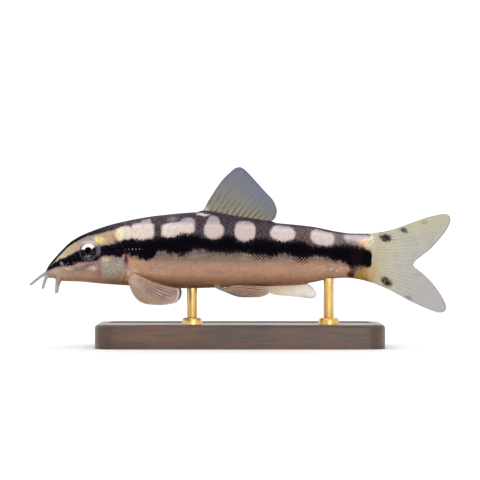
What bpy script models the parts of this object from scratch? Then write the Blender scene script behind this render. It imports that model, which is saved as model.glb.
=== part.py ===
"""A life-size display model of an adult dwarf chain loach on a flat base with two short rods.

The head points along -X and the belly down. The origin is the middle of the base's underside.
Sizes are in millimetres and become metres where a mesh is made. A place on the fish is given as
(distance behind the snout tip, distance to the side, height above the body's axis), and an empty
at the snout tip's place carries the whole fish.
"""

import math

import bmesh
import bpy
from mathutils import Matrix, Vector

MM = 0.001
GAP = 0.3

# The whole fish
STANDARD_LENGTH = 48.0
FRONT_REACH = 2.5
TAIL_REACH = 59.6
AXIS_HEIGHT = 14.0
MIDDLE = (TAIL_REACH - FRONT_REACH) / 2

# The body's outline as (distance behind the snout tip, value), read as smooth curves
BACK = (
    (0.0, -2.3), (0.9, -1.35), (2.1, 0.0), (3.8, 1.6), (6.2, 2.85), (10.9, 4.35), (17.0, 5.4),
    (23.0, 5.85), (27.1, 5.2), (33.0, 4.35), (38.9, 3.75), (43.0, 2.95), (45.0, 2.7), (48.0, 2.68),
)
BELLY = (
    (0.0, -3.65), (1.3, -3.78), (2.3, -4.3), (5.0, -4.33), (8.0, -4.6), (12.0, -4.9), (20.0, -5.36),
    (32.0, -4.95), (38.9, -4.55), (41.8, -4.0), (44.2, -3.8), (45.8, -3.95), (48.0, -4.5),
)
HALF_WIDTH = (
    (0.0, 1.0), (0.9, 1.25), (2.1, 1.6), (3.8, 2.05), (6.2, 2.55), (10.9, 3.2), (17.0, 3.5),
    (22.0, 3.45), (27.1, 3.1), (33.0, 2.5), (38.9, 1.85), (44.2, 1.15), (48.0, 0.7),
)
WIDEST_LEVEL = ((0.0, -2.87), (3.0, -2.0), (6.5, -1.2), (14.0, -0.7), (26.0, -0.3), (48.0, -0.8))
BACK_ROUNDNESS = ((0.0, 2.0), (6.0, 1.9), (14.0, 2.1), (48.0, 2.0))
BELLY_ROUNDNESS = ((0.0, 2.4), (8.0, 2.6), (22.0, 2.4), (48.0, 2.0))
SNOUT_LEVEL = -2.87
SNOUT_ROUNDING = 0.8

# Where the body is parted, with the gill opening as (height, distance behind the snout tip)
GILL_OPENING = ((-5.2, 10.9), (-3.6, 11.8), (-1.0, 11.95), (2.0, 11.5), (5.0, 10.8))
TAIL_CUT = 38.2
TAIL_END = STANDARD_LENGTH - GAP / 2
AROUND = 40
SKIN_CREASE_ANGLE = 50
FIN_CREASE_ANGLE = 70
STAND_CREASE_ANGLE = 35
HEAD_RINGS = 32
HEAD_CROWDING = 1.5
TORSO_RINGS = 24
TAIL_RINGS = 10

# The head
EYE_AT = (6.25, 0.05)
EYE_RADIUS = 1.3
EYE_DEPTH = 0.9
EYE_STANDS_OUT = 0.22
ORBIT_RIM = {"height": 0.14, "away": 0.3, "width": 0.35}
GILL_COVER = {"at": (9.95, -2.35), "radius": 1.8, "swell": 0.3, "tallness": 0.9}
CREASES = {
    "gill_cover": ((9.1, -0.6), (8.3, -1.3), (8.05, -2.35), (8.45, -3.4), (9.4, -4.1)),
    "under_eye": ((4.6, -2.4), (6.3, -2.05), (7.5, -1.45), (8.2, -0.85)),
}
CREASE_RADIUS = 0.12
CREASE_STEPS = 10
CREASE_END_SHARE = 0.4
NOSTRILS = (
    {"at": (2.5, -1.8), "bore": 0.2, "wall": 0.09, "tall": 0.24},
    {"at": (3.15, -1.62), "bore": 0.24, "wall": 0.08, "tall": 0.1},
)
NOSTRIL_ROOT = -0.3
NOSTRIL_FLOOR = -0.25
NOSTRIL_FLARE = 1.25
NOSTRIL_TAPER = 0.6
UPPER_LIP = {"front": 0.55, "corner": (1.72, 0.88), "levels": (-3.64, -3.95), "radius": 0.21}
LOWER_LIP = {"front": 1.32, "corner": (1.8, 0.62), "levels": (-3.86, -4.06), "radius": 0.22}
MOUTH_LINE = {"front": 0.93, "corner": (1.82, 0.76), "levels": (-3.86, -4.14), "radius": 0.13}
LIP_STEPS = 12
LIP_BEND = 2.2
LIP_CORNER_SHARE = 0.55
TUBE_BEVEL = 2
LENS_SIDES = 20
LENS_RINGS = 10

# Barbels, each rooted at (distance behind the snout tip, degrees below the side)
BARBELS = {
    "barbel_rostral_upper": {"root": (0.1, 38), "tip": (-2.43, 0.95, -4.9), "radii": (0.27, 0.12)},
    "barbel_rostral_lower": {"root": (0.28, 55), "tip": (-0.54, 1.1, -5.5), "radii": (0.27, 0.12)},
    "barbel_maxillary": {"root": (1.95, 58), "tip": (1.5, 1.5, -6.15), "radii": (0.5, 0.14)},
}
BARBEL_RINGS = 7
BARBEL_STIFFNESS = 0.3

# Fins, each with the points of its free edges. A stalk leaves the body square to it.
MEMBRANE = 0.5
FREE_EDGE = 0.32
EDGE_STARTS = 0.7
ROOT_THINS = 3.0
ROOT_TURN = 3
RAY_RIDGE = 0.16
RIDGE_FADES = 0.5
DORSAL = {
    "base": (22.95, 32.9),
    "leading": ((24.5, 0, 8.6), (26.8, 0, 11.4)),
    "margin": ((28.3, 0, 12.42), (29.3, 0, 12.15), (32.1, 0, 9.2), (33.5, 0, 7.5), (34.0, 0, 6.0),
               (33.7, 0, 5.1)),
    "trailing": ((33.25, 0, 4.8),),
    "rays": 10, "rows": 9, "root_thickness": 0.9,
}
ANAL = {
    "base": (31.9, 37.7),
    "leading": ((33.2, 0, -6.2), (35.8, 0, -6.55)),
    "margin": ((38.9, 0, -6.9), (39.8, 0, -6.2), (39.5, 0, -5.6), (38.95, 0, -5.05)),
    "trailing": ((38.35, 0, -4.98),),
    "rays": 8, "rows": 7, "root_thickness": 0.8,
}
CAUDAL_ROOT = STANDARD_LENGTH + GAP / 2
CAUDAL_MIDDLE = (CAUDAL_ROOT, 0, -0.95)
FORK = (54.1, 0, -1.9)
CAUDAL_UPPER = {
    "root": (CAUDAL_ROOT, 0, 2.72),
    "leading": ((50.8, 0, 3.14), (53.5, 0, 4.07), (56.1, 0, 4.98)),
    "margin": ((58.6, 0, 5.59), (59.6, 0, 4.9), (58.6, 0, 2.9), (56.6, 0, 0.6), (55.0, 0, -0.8)),
    "rays": 10, "rows": 10, "root_thickness": 1.15,
}
CAUDAL_LOWER = {
    "root": (CAUDAL_ROOT, 0, -4.55),
    "leading": ((50.8, 0, -5.66), (53.5, 0, -7.1), (56.1, 0, -8.28)),
    "margin": ((57.8, 0, -8.88), (58.9, 0, -8.2), (58.2, 0, -6.5), (56.6, 0, -4.3), (55.0, 0, -2.75)),
    "rays": 10, "rows": 10, "root_thickness": 1.15,
}
PECTORAL = {
    "root": ((12.42, -4.2), (13.2, -3.15)),
    "leading": ((12.95, 3.9, -5.9), (13.95, 5.0, -7.2)),
    "margin": ((15.2, 5.6, -7.66), (17.4, 6.3, -7.66), (19.2, 6.75, -7.38), (19.75, 6.6, -6.7),
               (19.85, 6.1, -5.95), (19.7, 5.4, -5.3)),
    "trailing": ((16.2, 4.2, -4.6),),
    "rays": 12, "rows": 8, "root_thickness": 0.7,
}
PELVIC = {
    "root": ((24.9, -4.45), (25.95, -5.08)),
    "leading": ((26.7, 3.0, -5.9), (28.3, 3.5, -6.55)),
    "margin": ((30.2, 3.7, -6.66), (31.9, 3.6, -6.45), (32.7, 3.3, -6.1), (32.5, 2.85, -5.4)),
    "trailing": ((27.7, 1.95, -5.3), (30.1, 2.5, -5.15)),
    "rays": 8, "rows": 8, "root_thickness": 0.6, "stalk": 0.55,
}

# Stand
BASE_LENGTH = 42.0
BASE_WIDTH = 20.0
BASE_HEIGHT = 3.5
BASE_CORNER = 3.0
BASE_BEVEL = 0.5
CORNER_STEPS = 6
ROD_RADIUS = 0.75
ROD_SIDES = 16
RODS = {"stand_rod_front": 21.5, "stand_rod_rear": 41.6}


def clear_scene():
    for obj in list(bpy.data.objects):
        bpy.data.objects.remove(obj)


def material(name, colour, roughness, metallic=0.0):
    made = bpy.data.materials.new(name)
    made.use_nodes = True
    shader = made.node_tree.nodes["Principled BSDF"]
    shader.inputs["Base Color"].default_value = (*colour, 1.0)
    shader.inputs["Roughness"].default_value = roughness
    shader.inputs["Metallic"].default_value = metallic
    return made


def add_object(name, data, finish=None, parent=None):
    """Puts mesh or curve data into the scene as an object, hung on its parent."""
    made = bpy.data.objects.new(name, data)
    bpy.context.scene.collection.objects.link(made)
    made.parent = parent
    if finish:
        data.materials.append(finish)
    return made


def add_mesh(name, bm, finish=None, parent=None):
    """Turns a closed bmesh, made in millimetres, into an object in metres."""
    bmesh.ops.recalc_face_normals(bm, faces=bm.faces)
    bmesh.ops.scale(bm, vec=(MM, MM, MM), verts=bm.verts)
    mesh = bpy.data.meshes.new(name)
    bm.to_mesh(mesh)
    bm.free()
    return add_object(name, mesh, finish, parent)


def shade(obj, sharp_degrees=SKIN_CREASE_ANGLE):
    obj.data.shade_smooth()
    obj.data.set_sharp_from_angle(angle=math.radians(sharp_degrees))


def smooth(curve, at):
    """Reads a table of (place, value) as a smooth curve that never overshoots its values."""
    place = [p for p, _ in curve]
    value = [v for _, v in curve]
    at = min(max(at, place[0]), place[-1])
    slope = [(value[i + 1] - value[i]) / (place[i + 1] - place[i]) for i in range(len(curve) - 1)]
    tangent = [slope[0]]
    for before, after in zip(slope, slope[1:]):
        tangent.append(2 * before * after / (before + after) if before * after > 0 else 0.0)
    tangent.append(slope[-1])
    i = max(k for k in range(len(curve) - 1) if place[k] <= at)
    span = place[i + 1] - place[i]
    t = (at - place[i]) / span
    ends = value[i] * (1 + 2 * t) * (1 - t) ** 2 + value[i + 1] * t * t * (3 - 2 * t)
    return ends + span * (tangent[i] * t * (1 - t) ** 2 - tangent[i + 1] * t * t * (1 - t))


def through(points):
    """A smooth curve through points, read by the share of its length."""
    points = [Vector(p) for p in points]
    far = [0.0]
    for a, b in zip(points, points[1:]):
        far.append(far[-1] + (b - a).length)
    last = len(points) - 1

    def tangent(k, span):
        low, high = max(k - 1, 0), min(k + 1, last)
        return (points[high] - points[low]) / (far[high] - far[low]) * span

    def at(t):
        want = t * far[-1]
        i = max(k for k in range(last) if far[k] <= want)
        span = far[i + 1] - far[i]
        x = (want - far[i]) / span
        ends = points[i] * (1 + 2 * x) * (1 - x) ** 2 + points[i + 1] * x * x * (3 - 2 * x)
        return ends + tangent(i, span) * x * (1 - x) ** 2 - tangent(i + 1, span) * x * x * (1 - x)

    return at


def section(s):
    """The body's cross-section s behind the snout tip: top, bottom, half width, widest level."""
    ahead = max(0.0, 1 - s / SNOUT_ROUNDING)
    blunt = math.sqrt(max(0.0, 1 - ahead * ahead))
    top = SNOUT_LEVEL + (smooth(BACK, s) - SNOUT_LEVEL) * blunt
    bottom = SNOUT_LEVEL + (smooth(BELLY, s) - SNOUT_LEVEL) * blunt
    level = SNOUT_LEVEL + (smooth(WIDEST_LEVEL, s) - SNOUT_LEVEL) * blunt
    return top, bottom, smooth(HALF_WIDTH, s) * blunt, level


def flank(s, z):
    """How far out the body's side is at height z."""
    top, bottom, half, level = section(s)
    rise = (z - level) / ((top if z > level else bottom) - level)
    power = smooth(BACK_ROUNDNESS if z > level else BELLY_ROUNDNESS, s)
    return half * max(0.0, 1 - min(1.0, rise) ** power) ** (1 / power)


def ring_point(s, angle):
    """A point of the plain body surface, with the angle counted from the side over the back."""
    top, bottom, half, level = section(s)
    across, up = math.cos(angle), math.sin(angle)
    power = smooth(BACK_ROUNDNESS if up > 0 else BELLY_ROUNDNESS, s)
    reach = (top - level) if up > 0 else (level - bottom)
    y = half * math.copysign(abs(across) ** (2 / power), across)
    z = level + reach * math.copysign(abs(up) ** (2 / power), up)
    return Vector((s, y, z))


def ring_normal(s, angle):
    """The body's outward direction at a ring point."""
    step = 0.02
    along = ring_point(s + step, angle) - ring_point(max(0.0, s - step), angle)
    around = ring_point(s, angle + step) - ring_point(s, angle - step)
    normal = around.cross(along)
    return normal.normalized()


def flank_normal(s, z):
    """The body's outward direction on its +Y side at height z."""
    step = 0.1
    along = Vector((2 * step, flank(s + step, z) - flank(s - step, z), 0))
    up = Vector((0, flank(s, z + step) - flank(s, z - step), 2 * step))
    return up.cross(along).normalized()


def flank_point(s, z, lift=0.0):
    return Vector((s, flank(s, z), z)) + flank_normal(s, z) * lift


def relief(s, z):
    """How far the rim of the eye's socket and the gill cover stand out from the plain surface."""
    from_eye = math.hypot(s - EYE_AT[0], z - EYE_AT[1]) - EYE_RADIUS - ORBIT_RIM["away"]
    rim = ORBIT_RIM["height"] * math.exp(-((from_eye / ORBIT_RIM["width"]) ** 2))
    along, up = s - GILL_COVER["at"][0], (z - GILL_COVER["at"][1]) * GILL_COVER["tallness"]
    share = min(1.0, math.hypot(along, up) / GILL_COVER["radius"])
    return rim + GILL_COVER["swell"] * (1 - share ** 3) ** 2


def skin_point(s, angle):
    """A point of the body's surface with the head's soft forms on it, which fade at the midline."""
    point = ring_point(s, angle)
    fade = min(1.0, abs(point.y))
    return point + ring_normal(s, angle) * relief(point.x, point.z) * fade


def gill_edge(z):
    return smooth(GILL_OPENING, z)


def close_ring(bm, ring):
    """Closes a ring with strips from its right side to its left, so that a bent end stays true."""
    quarter, half = AROUND // 4, AROUND // 2
    for k in range(-quarter, quarter):
        quad = [k % AROUND, (k + 1) % AROUND, (half - k - 1) % AROUND, (half - k) % AROUND]
        corners = [ring[q] for i, q in enumerate(quad) if q != quad[i - 1]]
        for i in range(1, len(corners) - 1):
            bm.faces.new((corners[0], corners[i], corners[i + 1]))


def body_length(name, places, finish, fish):
    """A closed length of the body, where places gives each ring's s from a height on it.

    A first ring at the snout tip itself is left out for a single point.
    """
    bm = bmesh.new()
    angles = [2 * math.pi * k / AROUND for k in range(AROUND)]
    rings = []
    for place in places:
        heights = [ring_point(place(0.0), angle).z for angle in angles]
        rings.append([bm.verts.new(skin_point(place(z), a)) for z, a in zip(heights, angles)])
    for ahead, behind in zip(rings, rings[1:]):
        for k in range(AROUND):
            after = (k + 1) % AROUND
            bm.faces.new((ahead[k], ahead[after], behind[after]))
            bm.faces.new((ahead[k], behind[after], behind[k]))
    close_ring(bm, rings[-1])
    if rings[0][0].co.x < SNOUT_ROUNDING:
        tip = bm.verts.new((0.0, 0.0, SNOUT_LEVEL))
        for k in range(AROUND):
            bm.faces.new((tip, rings[0][(k + 1) % AROUND], rings[0][k]))
    else:
        close_ring(bm, rings[0])
    return add_mesh(name, bm, finish, fish)


def head_places():
    """Ring places from the snout to the gill opening, crowded towards the snout."""
    shares = [((k + 1) / HEAD_RINGS) ** HEAD_CROWDING for k in range(HEAD_RINGS)]
    return [lambda z, t=t: t * (gill_edge(z) - GAP / 2) for t in shares]


def torso_places():
    """Ring places from the gill opening to the tail cut, whose bend fades along the way."""
    end = TAIL_CUT - GAP / 2
    shares = [k / TORSO_RINGS for k in range(TORSO_RINGS + 1)]
    return [lambda z, t=t: (gill_edge(z) + GAP / 2) * (1 - t) + end * t for t in shares]


def tail_places():
    start = TAIL_CUT + GAP / 2
    shares = [k / TAIL_RINGS for k in range(TAIL_RINGS + 1)]
    return [lambda z, t=t: start + (TAIL_END - start) * t for t in shares]


def apply_boolean(obj, pieces, operation):
    """Joins obj with closed pieces, or cuts it by them, and removes them."""
    group = bpy.data.collections.new(operation.lower())
    bpy.context.scene.collection.children.link(group)
    for piece in pieces:
        bpy.context.scene.collection.objects.unlink(piece)
        group.objects.link(piece)
    modifier = obj.modifiers.new(group.name, "BOOLEAN")
    modifier.operation = operation
    modifier.operand_type = "COLLECTION"
    modifier.collection = group
    modifier.solver = "EXACT"
    bpy.context.view_layer.objects.active = obj
    bpy.ops.object.modifier_apply(modifier=modifier.name)
    for piece in pieces:
        bpy.data.objects.remove(piece)
    bpy.data.collections.remove(group)


def keep_largest(obj):
    """Drops every closed surface of a mesh but the one with the most faces."""
    bm = bmesh.new()
    bm.from_mesh(obj.data)
    left = set(bm.faces)
    shells = []
    while left:
        shell, edge_of = set(), [left.pop()]
        while edge_of:
            face = edge_of.pop()
            shell.add(face)
            for edge in face.edges:
                for other in edge.link_faces:
                    if other in left:
                        left.discard(other)
                        edge_of.append(other)
        shells.append(shell)
    shells.sort(key=len)
    scraps = [face for shell in shells[:-1] for face in shell]
    bmesh.ops.delete(bm, geom=scraps, context="FACES")
    bm.to_mesh(obj.data)
    bm.free()


def tube_curve(name, path, radii, finish=None, parent=None):
    """A curve with a round bevel and closed ends, through points on the fish."""
    curve = bpy.data.curves.new(name, "CURVE")
    curve.dimensions = "3D"
    curve.bevel_depth = MM
    curve.bevel_resolution = TUBE_BEVEL
    curve.use_fill_caps = True
    spline = curve.splines.new("POLY")
    spline.points.add(len(path) - 1)
    for point, place, radius in zip(spline.points, path, radii):
        point.co = (*(place * MM), 1.0)
        point.radius = radius
    return add_object(name, curve, finish, parent)


def tube(name, path, radii, parent=None):
    """The same as a closed mesh."""
    curve = tube_curve(name + "_curve", path, radii)
    mesh = bpy.data.meshes.new_from_object(curve)
    bpy.data.objects.remove(curve)
    return add_object(name, mesh, None, parent)


def lens(name, centre, axis, radius, depth, finish=None, parent=None):
    """A round lens that reaches depth to each side of its centre along its axis."""
    turn = axis.to_track_quat("Z", "Y")
    place = Matrix.LocRotScale(centre, turn, Vector((radius, radius, depth)))
    bm = bmesh.new()
    bmesh.ops.create_uvsphere(bm, u_segments=LENS_SIDES, v_segments=LENS_RINGS, radius=1, matrix=place)
    return add_mesh(name, bm, finish, parent)


def lip_tube(name, lip, fish):
    """A crescent round the mouth, from one corner round its front to the other."""
    corner_s, corner_y = lip["corner"]
    level, corner_level = lip["levels"]
    path, radii = [], []
    for k in range(LIP_STEPS + 1):
        turn = math.pi * (k / LIP_STEPS - 0.5)
        back = abs(math.sin(turn)) ** LIP_BEND
        s = lip["front"] + (corner_s - lip["front"]) * back
        path.append(Vector((s, corner_y * math.sin(turn), level + (corner_level - level) * back)))
        radii.append(lip["radius"] * (LIP_CORNER_SHARE + (1 - LIP_CORNER_SHARE) * math.cos(turn)))
    return tube(name, path, radii, fish)


def nostril_pieces(nostril, mirror, fish):
    """A short tube wall on the snout and the pit that opens it."""
    s, z = nostril["at"]
    bore, tall = nostril["bore"], nostril["tall"]
    wide = bore + nostril["wall"]
    stem = [flank_point(s, z, lift) * mirror for lift in (NOSTRIL_ROOT, tall)]
    pit = [flank_point(s, z, lift) * mirror for lift in (NOSTRIL_FLOOR, tall + bore)]
    return (tube("stem", stem, (wide * NOSTRIL_FLARE, wide), fish),
            tube("pit", pit, (bore * NOSTRIL_TAPER, bore), fish))


def crease_tube(points, mirror, fish):
    """A fine groove along the side of the head, which runs out at both ends."""
    line = through([(s, z, 0) for s, z in points])
    path, radii = [], []
    for k in range(CREASE_STEPS + 1):
        s, z, _ = line(k / CREASE_STEPS)
        path.append(flank_point(s, z, relief(s, z)) * mirror)
        middle = math.sin(math.pi * k / CREASE_STEPS)
        radii.append(CREASE_RADIUS * (CREASE_END_SHARE + (1 - CREASE_END_SHARE) * middle))
    return tube("crease", path, radii, fish)


def eye_place(mirror):
    """The middle of an eye and the direction that it looks in."""
    centre = flank_point(*EYE_AT, EYE_STANDS_OUT - EYE_DEPTH)
    return centre * mirror, flank_normal(*EYE_AT) * mirror


def sides():
    """The name ending and the mirror of each side of the fish."""
    return (("right", Vector((1, 1, 1))), ("left", Vector((1, -1, 1))))


def make_head(fish):
    head = body_length("head", head_places(), material("head", (0.34, 0.25, 0.2), 0.4), fish)
    added = [lip_tube("upper_lip", UPPER_LIP, fish), lip_tube("lower_lip", LOWER_LIP, fish)]
    cut = [lip_tube("mouth_line", MOUTH_LINE, fish)]
    for _, mirror in sides():
        for nostril in NOSTRILS:
            stem, pit = nostril_pieces(nostril, mirror, fish)
            added.append(stem)
            cut.append(pit)
        for points in CREASES.values():
            cut.append(crease_tube(points, mirror, fish))
        centre, look = eye_place(mirror)
        cut.append(lens("socket", centre, look, EYE_RADIUS + GAP, EYE_DEPTH + GAP, None, fish))
    apply_boolean(head, added, "UNION")
    apply_boolean(head, cut, "DIFFERENCE")
    keep_largest(head)
    shade(head)


def make_eyes(fish):
    finish = material("eye", (0.03, 0.03, 0.05), 0.1)
    for side, mirror in sides():
        centre, look = eye_place(mirror)
        shade(lens(f"eye_{side}", centre, look, EYE_RADIUS, EYE_DEPTH, finish, fish))


def make_body(fish):
    torso_finish = material("torso", (0.3, 0.22, 0.18), 0.4)
    shade(body_length("torso", torso_places(), torso_finish, fish))
    tail_finish = material("tail_stem", (0.22, 0.16, 0.14), 0.4)
    shade(body_length("tail_stem", tail_places(), tail_finish, fish))


def make_barbels(fish):
    """Three pairs of feelers that leave the skin square to it and bend down to their tips."""
    finish = material("barbel", (0.62, 0.56, 0.53), 0.4)
    for name, barbel in BARBELS.items():
        s, below = barbel["root"]
        normal = ring_normal(s, -math.radians(below))
        root = ring_point(s, -math.radians(below)) + normal * GAP
        tip = Vector(barbel["tip"])
        first = root + normal * (tip - root).length * BARBEL_STIFFNESS
        second = tip + (root - tip) * BARBEL_STIFFNESS
        wide, narrow = barbel["radii"]
        for side, mirror in sides():
            path, radii = [], []
            for k in range(BARBEL_RINGS):
                t = k / (BARBEL_RINGS - 1)
                near, far = root * (1 - t) + first * 3 * t, second * 3 * (1 - t) + tip * t
                path.append((near * (1 - t) ** 2 + far * t * t) * mirror)
                radii.append(wide + (narrow - wide) * t)
            tube_curve(f"{name}_{side}", path, radii, finish, fish)


def fin_grid(fin, root, outward):
    """Points of a fin in columns along its rays, filled in between its four edges."""
    stalks = [[root(u) + outward(u) * fin["stalk"]] if "stalk" in fin else [] for u in (0, 1)]
    leading = through([root(0), *stalks[0], *fin["leading"], fin["margin"][0]])
    trailing = through([root(1), *stalks[1], *fin["trailing"], fin["margin"][-1]])
    margin = through(fin["margin"])
    columns, rows = 2 * (fin["rays"] - 1), fin["rows"]
    grid = []
    for i in range(columns + 1):
        u = i / columns
        column = []
        for j in range(rows + 1):
            v = j / rows
            edges = root(u) * (1 - v) + margin(u) * v + leading(v) * (1 - u) + trailing(v) * u
            near = root(0) * (1 - u) + root(1) * u
            far = margin(0) * (1 - u) + margin(1) * u
            column.append(edges - near * (1 - v) - far * v)
        grid.append(column)
    return grid


def fin_thickness(fin, v):
    """From the fleshy root over the even membrane to the thin free edge."""
    thick = fin["root_thickness"] + (MEMBRANE - fin["root_thickness"]) * min(1.0, v * ROOT_THINS)
    return thick + (FREE_EDGE - MEMBRANE) * max(0.0, v - EDGE_STARTS) / (1 - EDGE_STARTS)


def make_fin(name, fin, root, outward, finish, fish, mirror=Vector((1, 1, 1))):
    """A fin with a ray raised on every second column, split alike on both faces.

    root and outward give the root line and the skin's direction there, by the share along it.
    """
    grid = fin_grid(fin, root, outward)
    columns, rows = len(grid) - 1, fin["rows"]
    bm = bmesh.new()
    front, back = [], []
    for i in range(columns + 1):
        front.append([])
        back.append([])
        for j in range(rows + 1):
            across = grid[min(i + 1, columns)][j] - grid[max(i - 1, 0)][j]
            along = (grid[i][min(j + 1, rows)] - grid[i][max(j - 1, 0)]).normalized()
            along = along.lerp(outward(i / columns), max(0.0, 1 - j / ROOT_TURN))
            half = fin_thickness(fin, j / rows) / 2
            if i % 2 == 0:
                half += RAY_RIDGE * (1 - RIDGE_FADES * j / rows)
            aside = across.cross(along).normalized() * half
            front[i].append(bm.verts.new((grid[i][j] + aside) * mirror))
            back[i].append(bm.verts.new((grid[i][j] - aside) * mirror))
    for face in (front, back):
        for i in range(columns):
            for j in range(rows):
                bm.faces.new((face[i][j], face[i + 1][j], face[i + 1][j + 1]))
                bm.faces.new((face[i][j], face[i + 1][j + 1], face[i][j + 1]))
    rim = [(i, 0) for i in range(columns)] + [(columns, j) for j in range(rows)]
    rim += [(i, rows) for i in range(columns, 0, -1)] + [(0, j) for j in range(rows, 0, -1)]
    for (a, b), (c, d) in zip(rim, rim[1:] + rim[:1]):
        bm.faces.new((front[a][b], front[c][d], back[c][d]))
        bm.faces.new((front[a][b], back[c][d], back[a][b]))
    shade(add_mesh(name, bm, finish, fish), FIN_CREASE_ANGLE)


def median_root(fin, curve, up):
    """A root line along the back, up 1, or along the belly, up -1, clear of it by the gap."""
    start, end = fin["base"]

    def root(u):
        s = start + (end - start) * u
        return Vector((s, 0, smooth(curve, s) + GAP * up))

    return root, lambda u: Vector((0, 0, up))


def flank_root(fin):
    """A root line on the flank, clear of it by the gap."""
    start, end = Vector(fin["root"][0]), Vector(fin["root"][1])
    return lambda u: flank_point(*start.lerp(end, u), GAP), lambda u: flank_normal(*start.lerp(end, u))


def caudal_lobe(fin, up):
    """A lobe of the tail fin with its inner edge half a gap from the other lobe's."""
    apart = Vector((0, 0, up * GAP / 2))
    middle, fork = Vector(CAUDAL_MIDDLE) + apart, Vector(FORK) + apart
    lobe = dict(fin, margin=(*fin["margin"], fork), trailing=(middle.lerp(fork, 0.5),))
    top = Vector(fin["root"])
    return lobe, lambda u: top.lerp(middle, u), lambda u: Vector((1, 0, 0))


def make_fins(fish):
    median = material("median_fin", (0.5, 0.5, 0.44), 0.35)
    paired = material("paired_fin", (0.46, 0.36, 0.33), 0.35)
    make_fin("dorsal_fin", DORSAL, *median_root(DORSAL, BACK, 1), median, fish)
    make_fin("anal_fin", ANAL, *median_root(ANAL, BELLY, -1), median, fish)
    make_fin("caudal_fin_upper", *caudal_lobe(CAUDAL_UPPER, 1), median, fish)
    make_fin("caudal_fin_lower", *caudal_lobe(CAUDAL_LOWER, -1), median, fish)
    for side, mirror in sides():
        make_fin(f"pectoral_fin_{side}", PECTORAL, *flank_root(PECTORAL), paired, fish, mirror)
        make_fin(f"pelvic_fin_{side}", PELVIC, *flank_root(PELVIC), paired, fish, mirror)


def bevel_edges(bm, chosen, width, steps):
    bmesh.ops.bevel(bm, geom=chosen, offset=width, segments=steps, profile=0.5, affect="EDGES")


def make_base():
    """A flat block with round corners and its upper edge taken off."""
    bm = bmesh.new()
    bmesh.ops.create_cube(bm, size=1)
    bmesh.ops.scale(bm, vec=(BASE_LENGTH, BASE_WIDTH, BASE_HEIGHT), verts=bm.verts)
    bmesh.ops.translate(bm, vec=(0, 0, BASE_HEIGHT / 2), verts=bm.verts)
    upright = [e for e in bm.edges if abs(e.verts[0].co.z - e.verts[1].co.z) > GAP]
    bevel_edges(bm, upright, BASE_CORNER, CORNER_STEPS)
    upper = [e for e in bm.edges if min(v.co.z for v in e.verts) > BASE_HEIGHT - GAP]
    bevel_edges(bm, upper, BASE_BEVEL, 1)
    finish = material("stand_base", (0.07, 0.045, 0.03), 0.35)
    shade(add_mesh("stand_base", bm, finish), STAND_CREASE_ANGLE)


def make_rods(fish):
    """Upright rods from the base to just under the belly."""
    finish = material("stand_rod", (0.55, 0.42, 0.2), 0.3, 1.0)
    foot = BASE_HEIGHT + GAP - AXIS_HEIGHT
    for name, s in RODS.items():
        head = smooth(BELLY, s) - GAP
        bm = bmesh.new()
        place = Matrix.Translation((s, 0, (foot + head) / 2))
        bmesh.ops.create_cone(bm, cap_ends=True, segments=ROD_SIDES, radius1=ROD_RADIUS,
                              radius2=ROD_RADIUS, depth=head - foot, matrix=place)
        shade(add_mesh(name, bm, finish, fish), STAND_CREASE_ANGLE)


def main():
    clear_scene()
    fish = add_object("fish", None)
    fish.location = Vector((-MIDDLE, 0, AXIS_HEIGHT)) * MM
    bpy.context.view_layer.update()
    make_head(fish)
    make_eyes(fish)
    make_body(fish)
    make_barbels(fish)
    make_fins(fish)
    make_base()
    make_rods(fish)


main()
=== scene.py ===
import math
import bpy
import numpy as np
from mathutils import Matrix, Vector


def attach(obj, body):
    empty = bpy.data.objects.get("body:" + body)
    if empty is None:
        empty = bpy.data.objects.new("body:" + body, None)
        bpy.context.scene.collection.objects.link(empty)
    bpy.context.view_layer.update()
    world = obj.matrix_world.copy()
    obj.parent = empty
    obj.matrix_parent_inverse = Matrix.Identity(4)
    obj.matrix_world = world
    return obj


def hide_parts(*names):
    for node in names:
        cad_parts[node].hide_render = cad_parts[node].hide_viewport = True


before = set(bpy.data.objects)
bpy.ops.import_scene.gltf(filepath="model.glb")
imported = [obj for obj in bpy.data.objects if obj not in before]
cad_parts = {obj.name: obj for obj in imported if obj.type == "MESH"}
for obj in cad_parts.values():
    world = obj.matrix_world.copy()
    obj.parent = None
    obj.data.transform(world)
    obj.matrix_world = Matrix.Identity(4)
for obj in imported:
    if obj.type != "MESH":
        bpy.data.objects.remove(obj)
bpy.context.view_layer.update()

mm = 0.001
sides = {"left": -1, "right": 1}  # which way each side of the fish looks along Y


# Small helpers for modelling

def startPiece():  # the frame's nodes are left selected, so every piece begins from nothing
    if bpy.context.mode != "OBJECT":
        bpy.ops.object.mode_set(mode="OBJECT")
    bpy.ops.object.select_all(action="DESELECT")


def added(operator, **settings):  # the object that an operator adds, with nothing else selected
    startPiece()
    operator(**settings)
    return bpy.context.object


def editMode(selectMode="FACE"):
    bpy.ops.object.mode_set(mode="EDIT")
    bpy.ops.mesh.select_mode(type=selectMode)


def objectMode():
    bpy.ops.object.mode_set(mode="OBJECT")


def activate(piece):
    startPiece()
    piece.select_set(True)
    bpy.context.view_layer.objects.active = piece


def fixPlace(piece):  # the place goes into the mesh, and the object stays at the origin
    activate(piece)
    bpy.ops.object.transform_apply(location=True, rotation=True, scale=True)


def applyAll(piece):
    activate(piece)
    for modifier in list(piece.modifiers):
        bpy.ops.object.modifier_apply(modifier=modifier.name)


def readPoints(piece):
    points = np.zeros(len(piece.data.vertices) * 3)
    piece.data.vertices.foreach_get("co", points)
    return points.reshape(-1, 3)


def writePoints(piece, points):
    piece.data.vertices.foreach_set("co", np.ascontiguousarray(points, float).ravel())
    piece.data.update()


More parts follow.
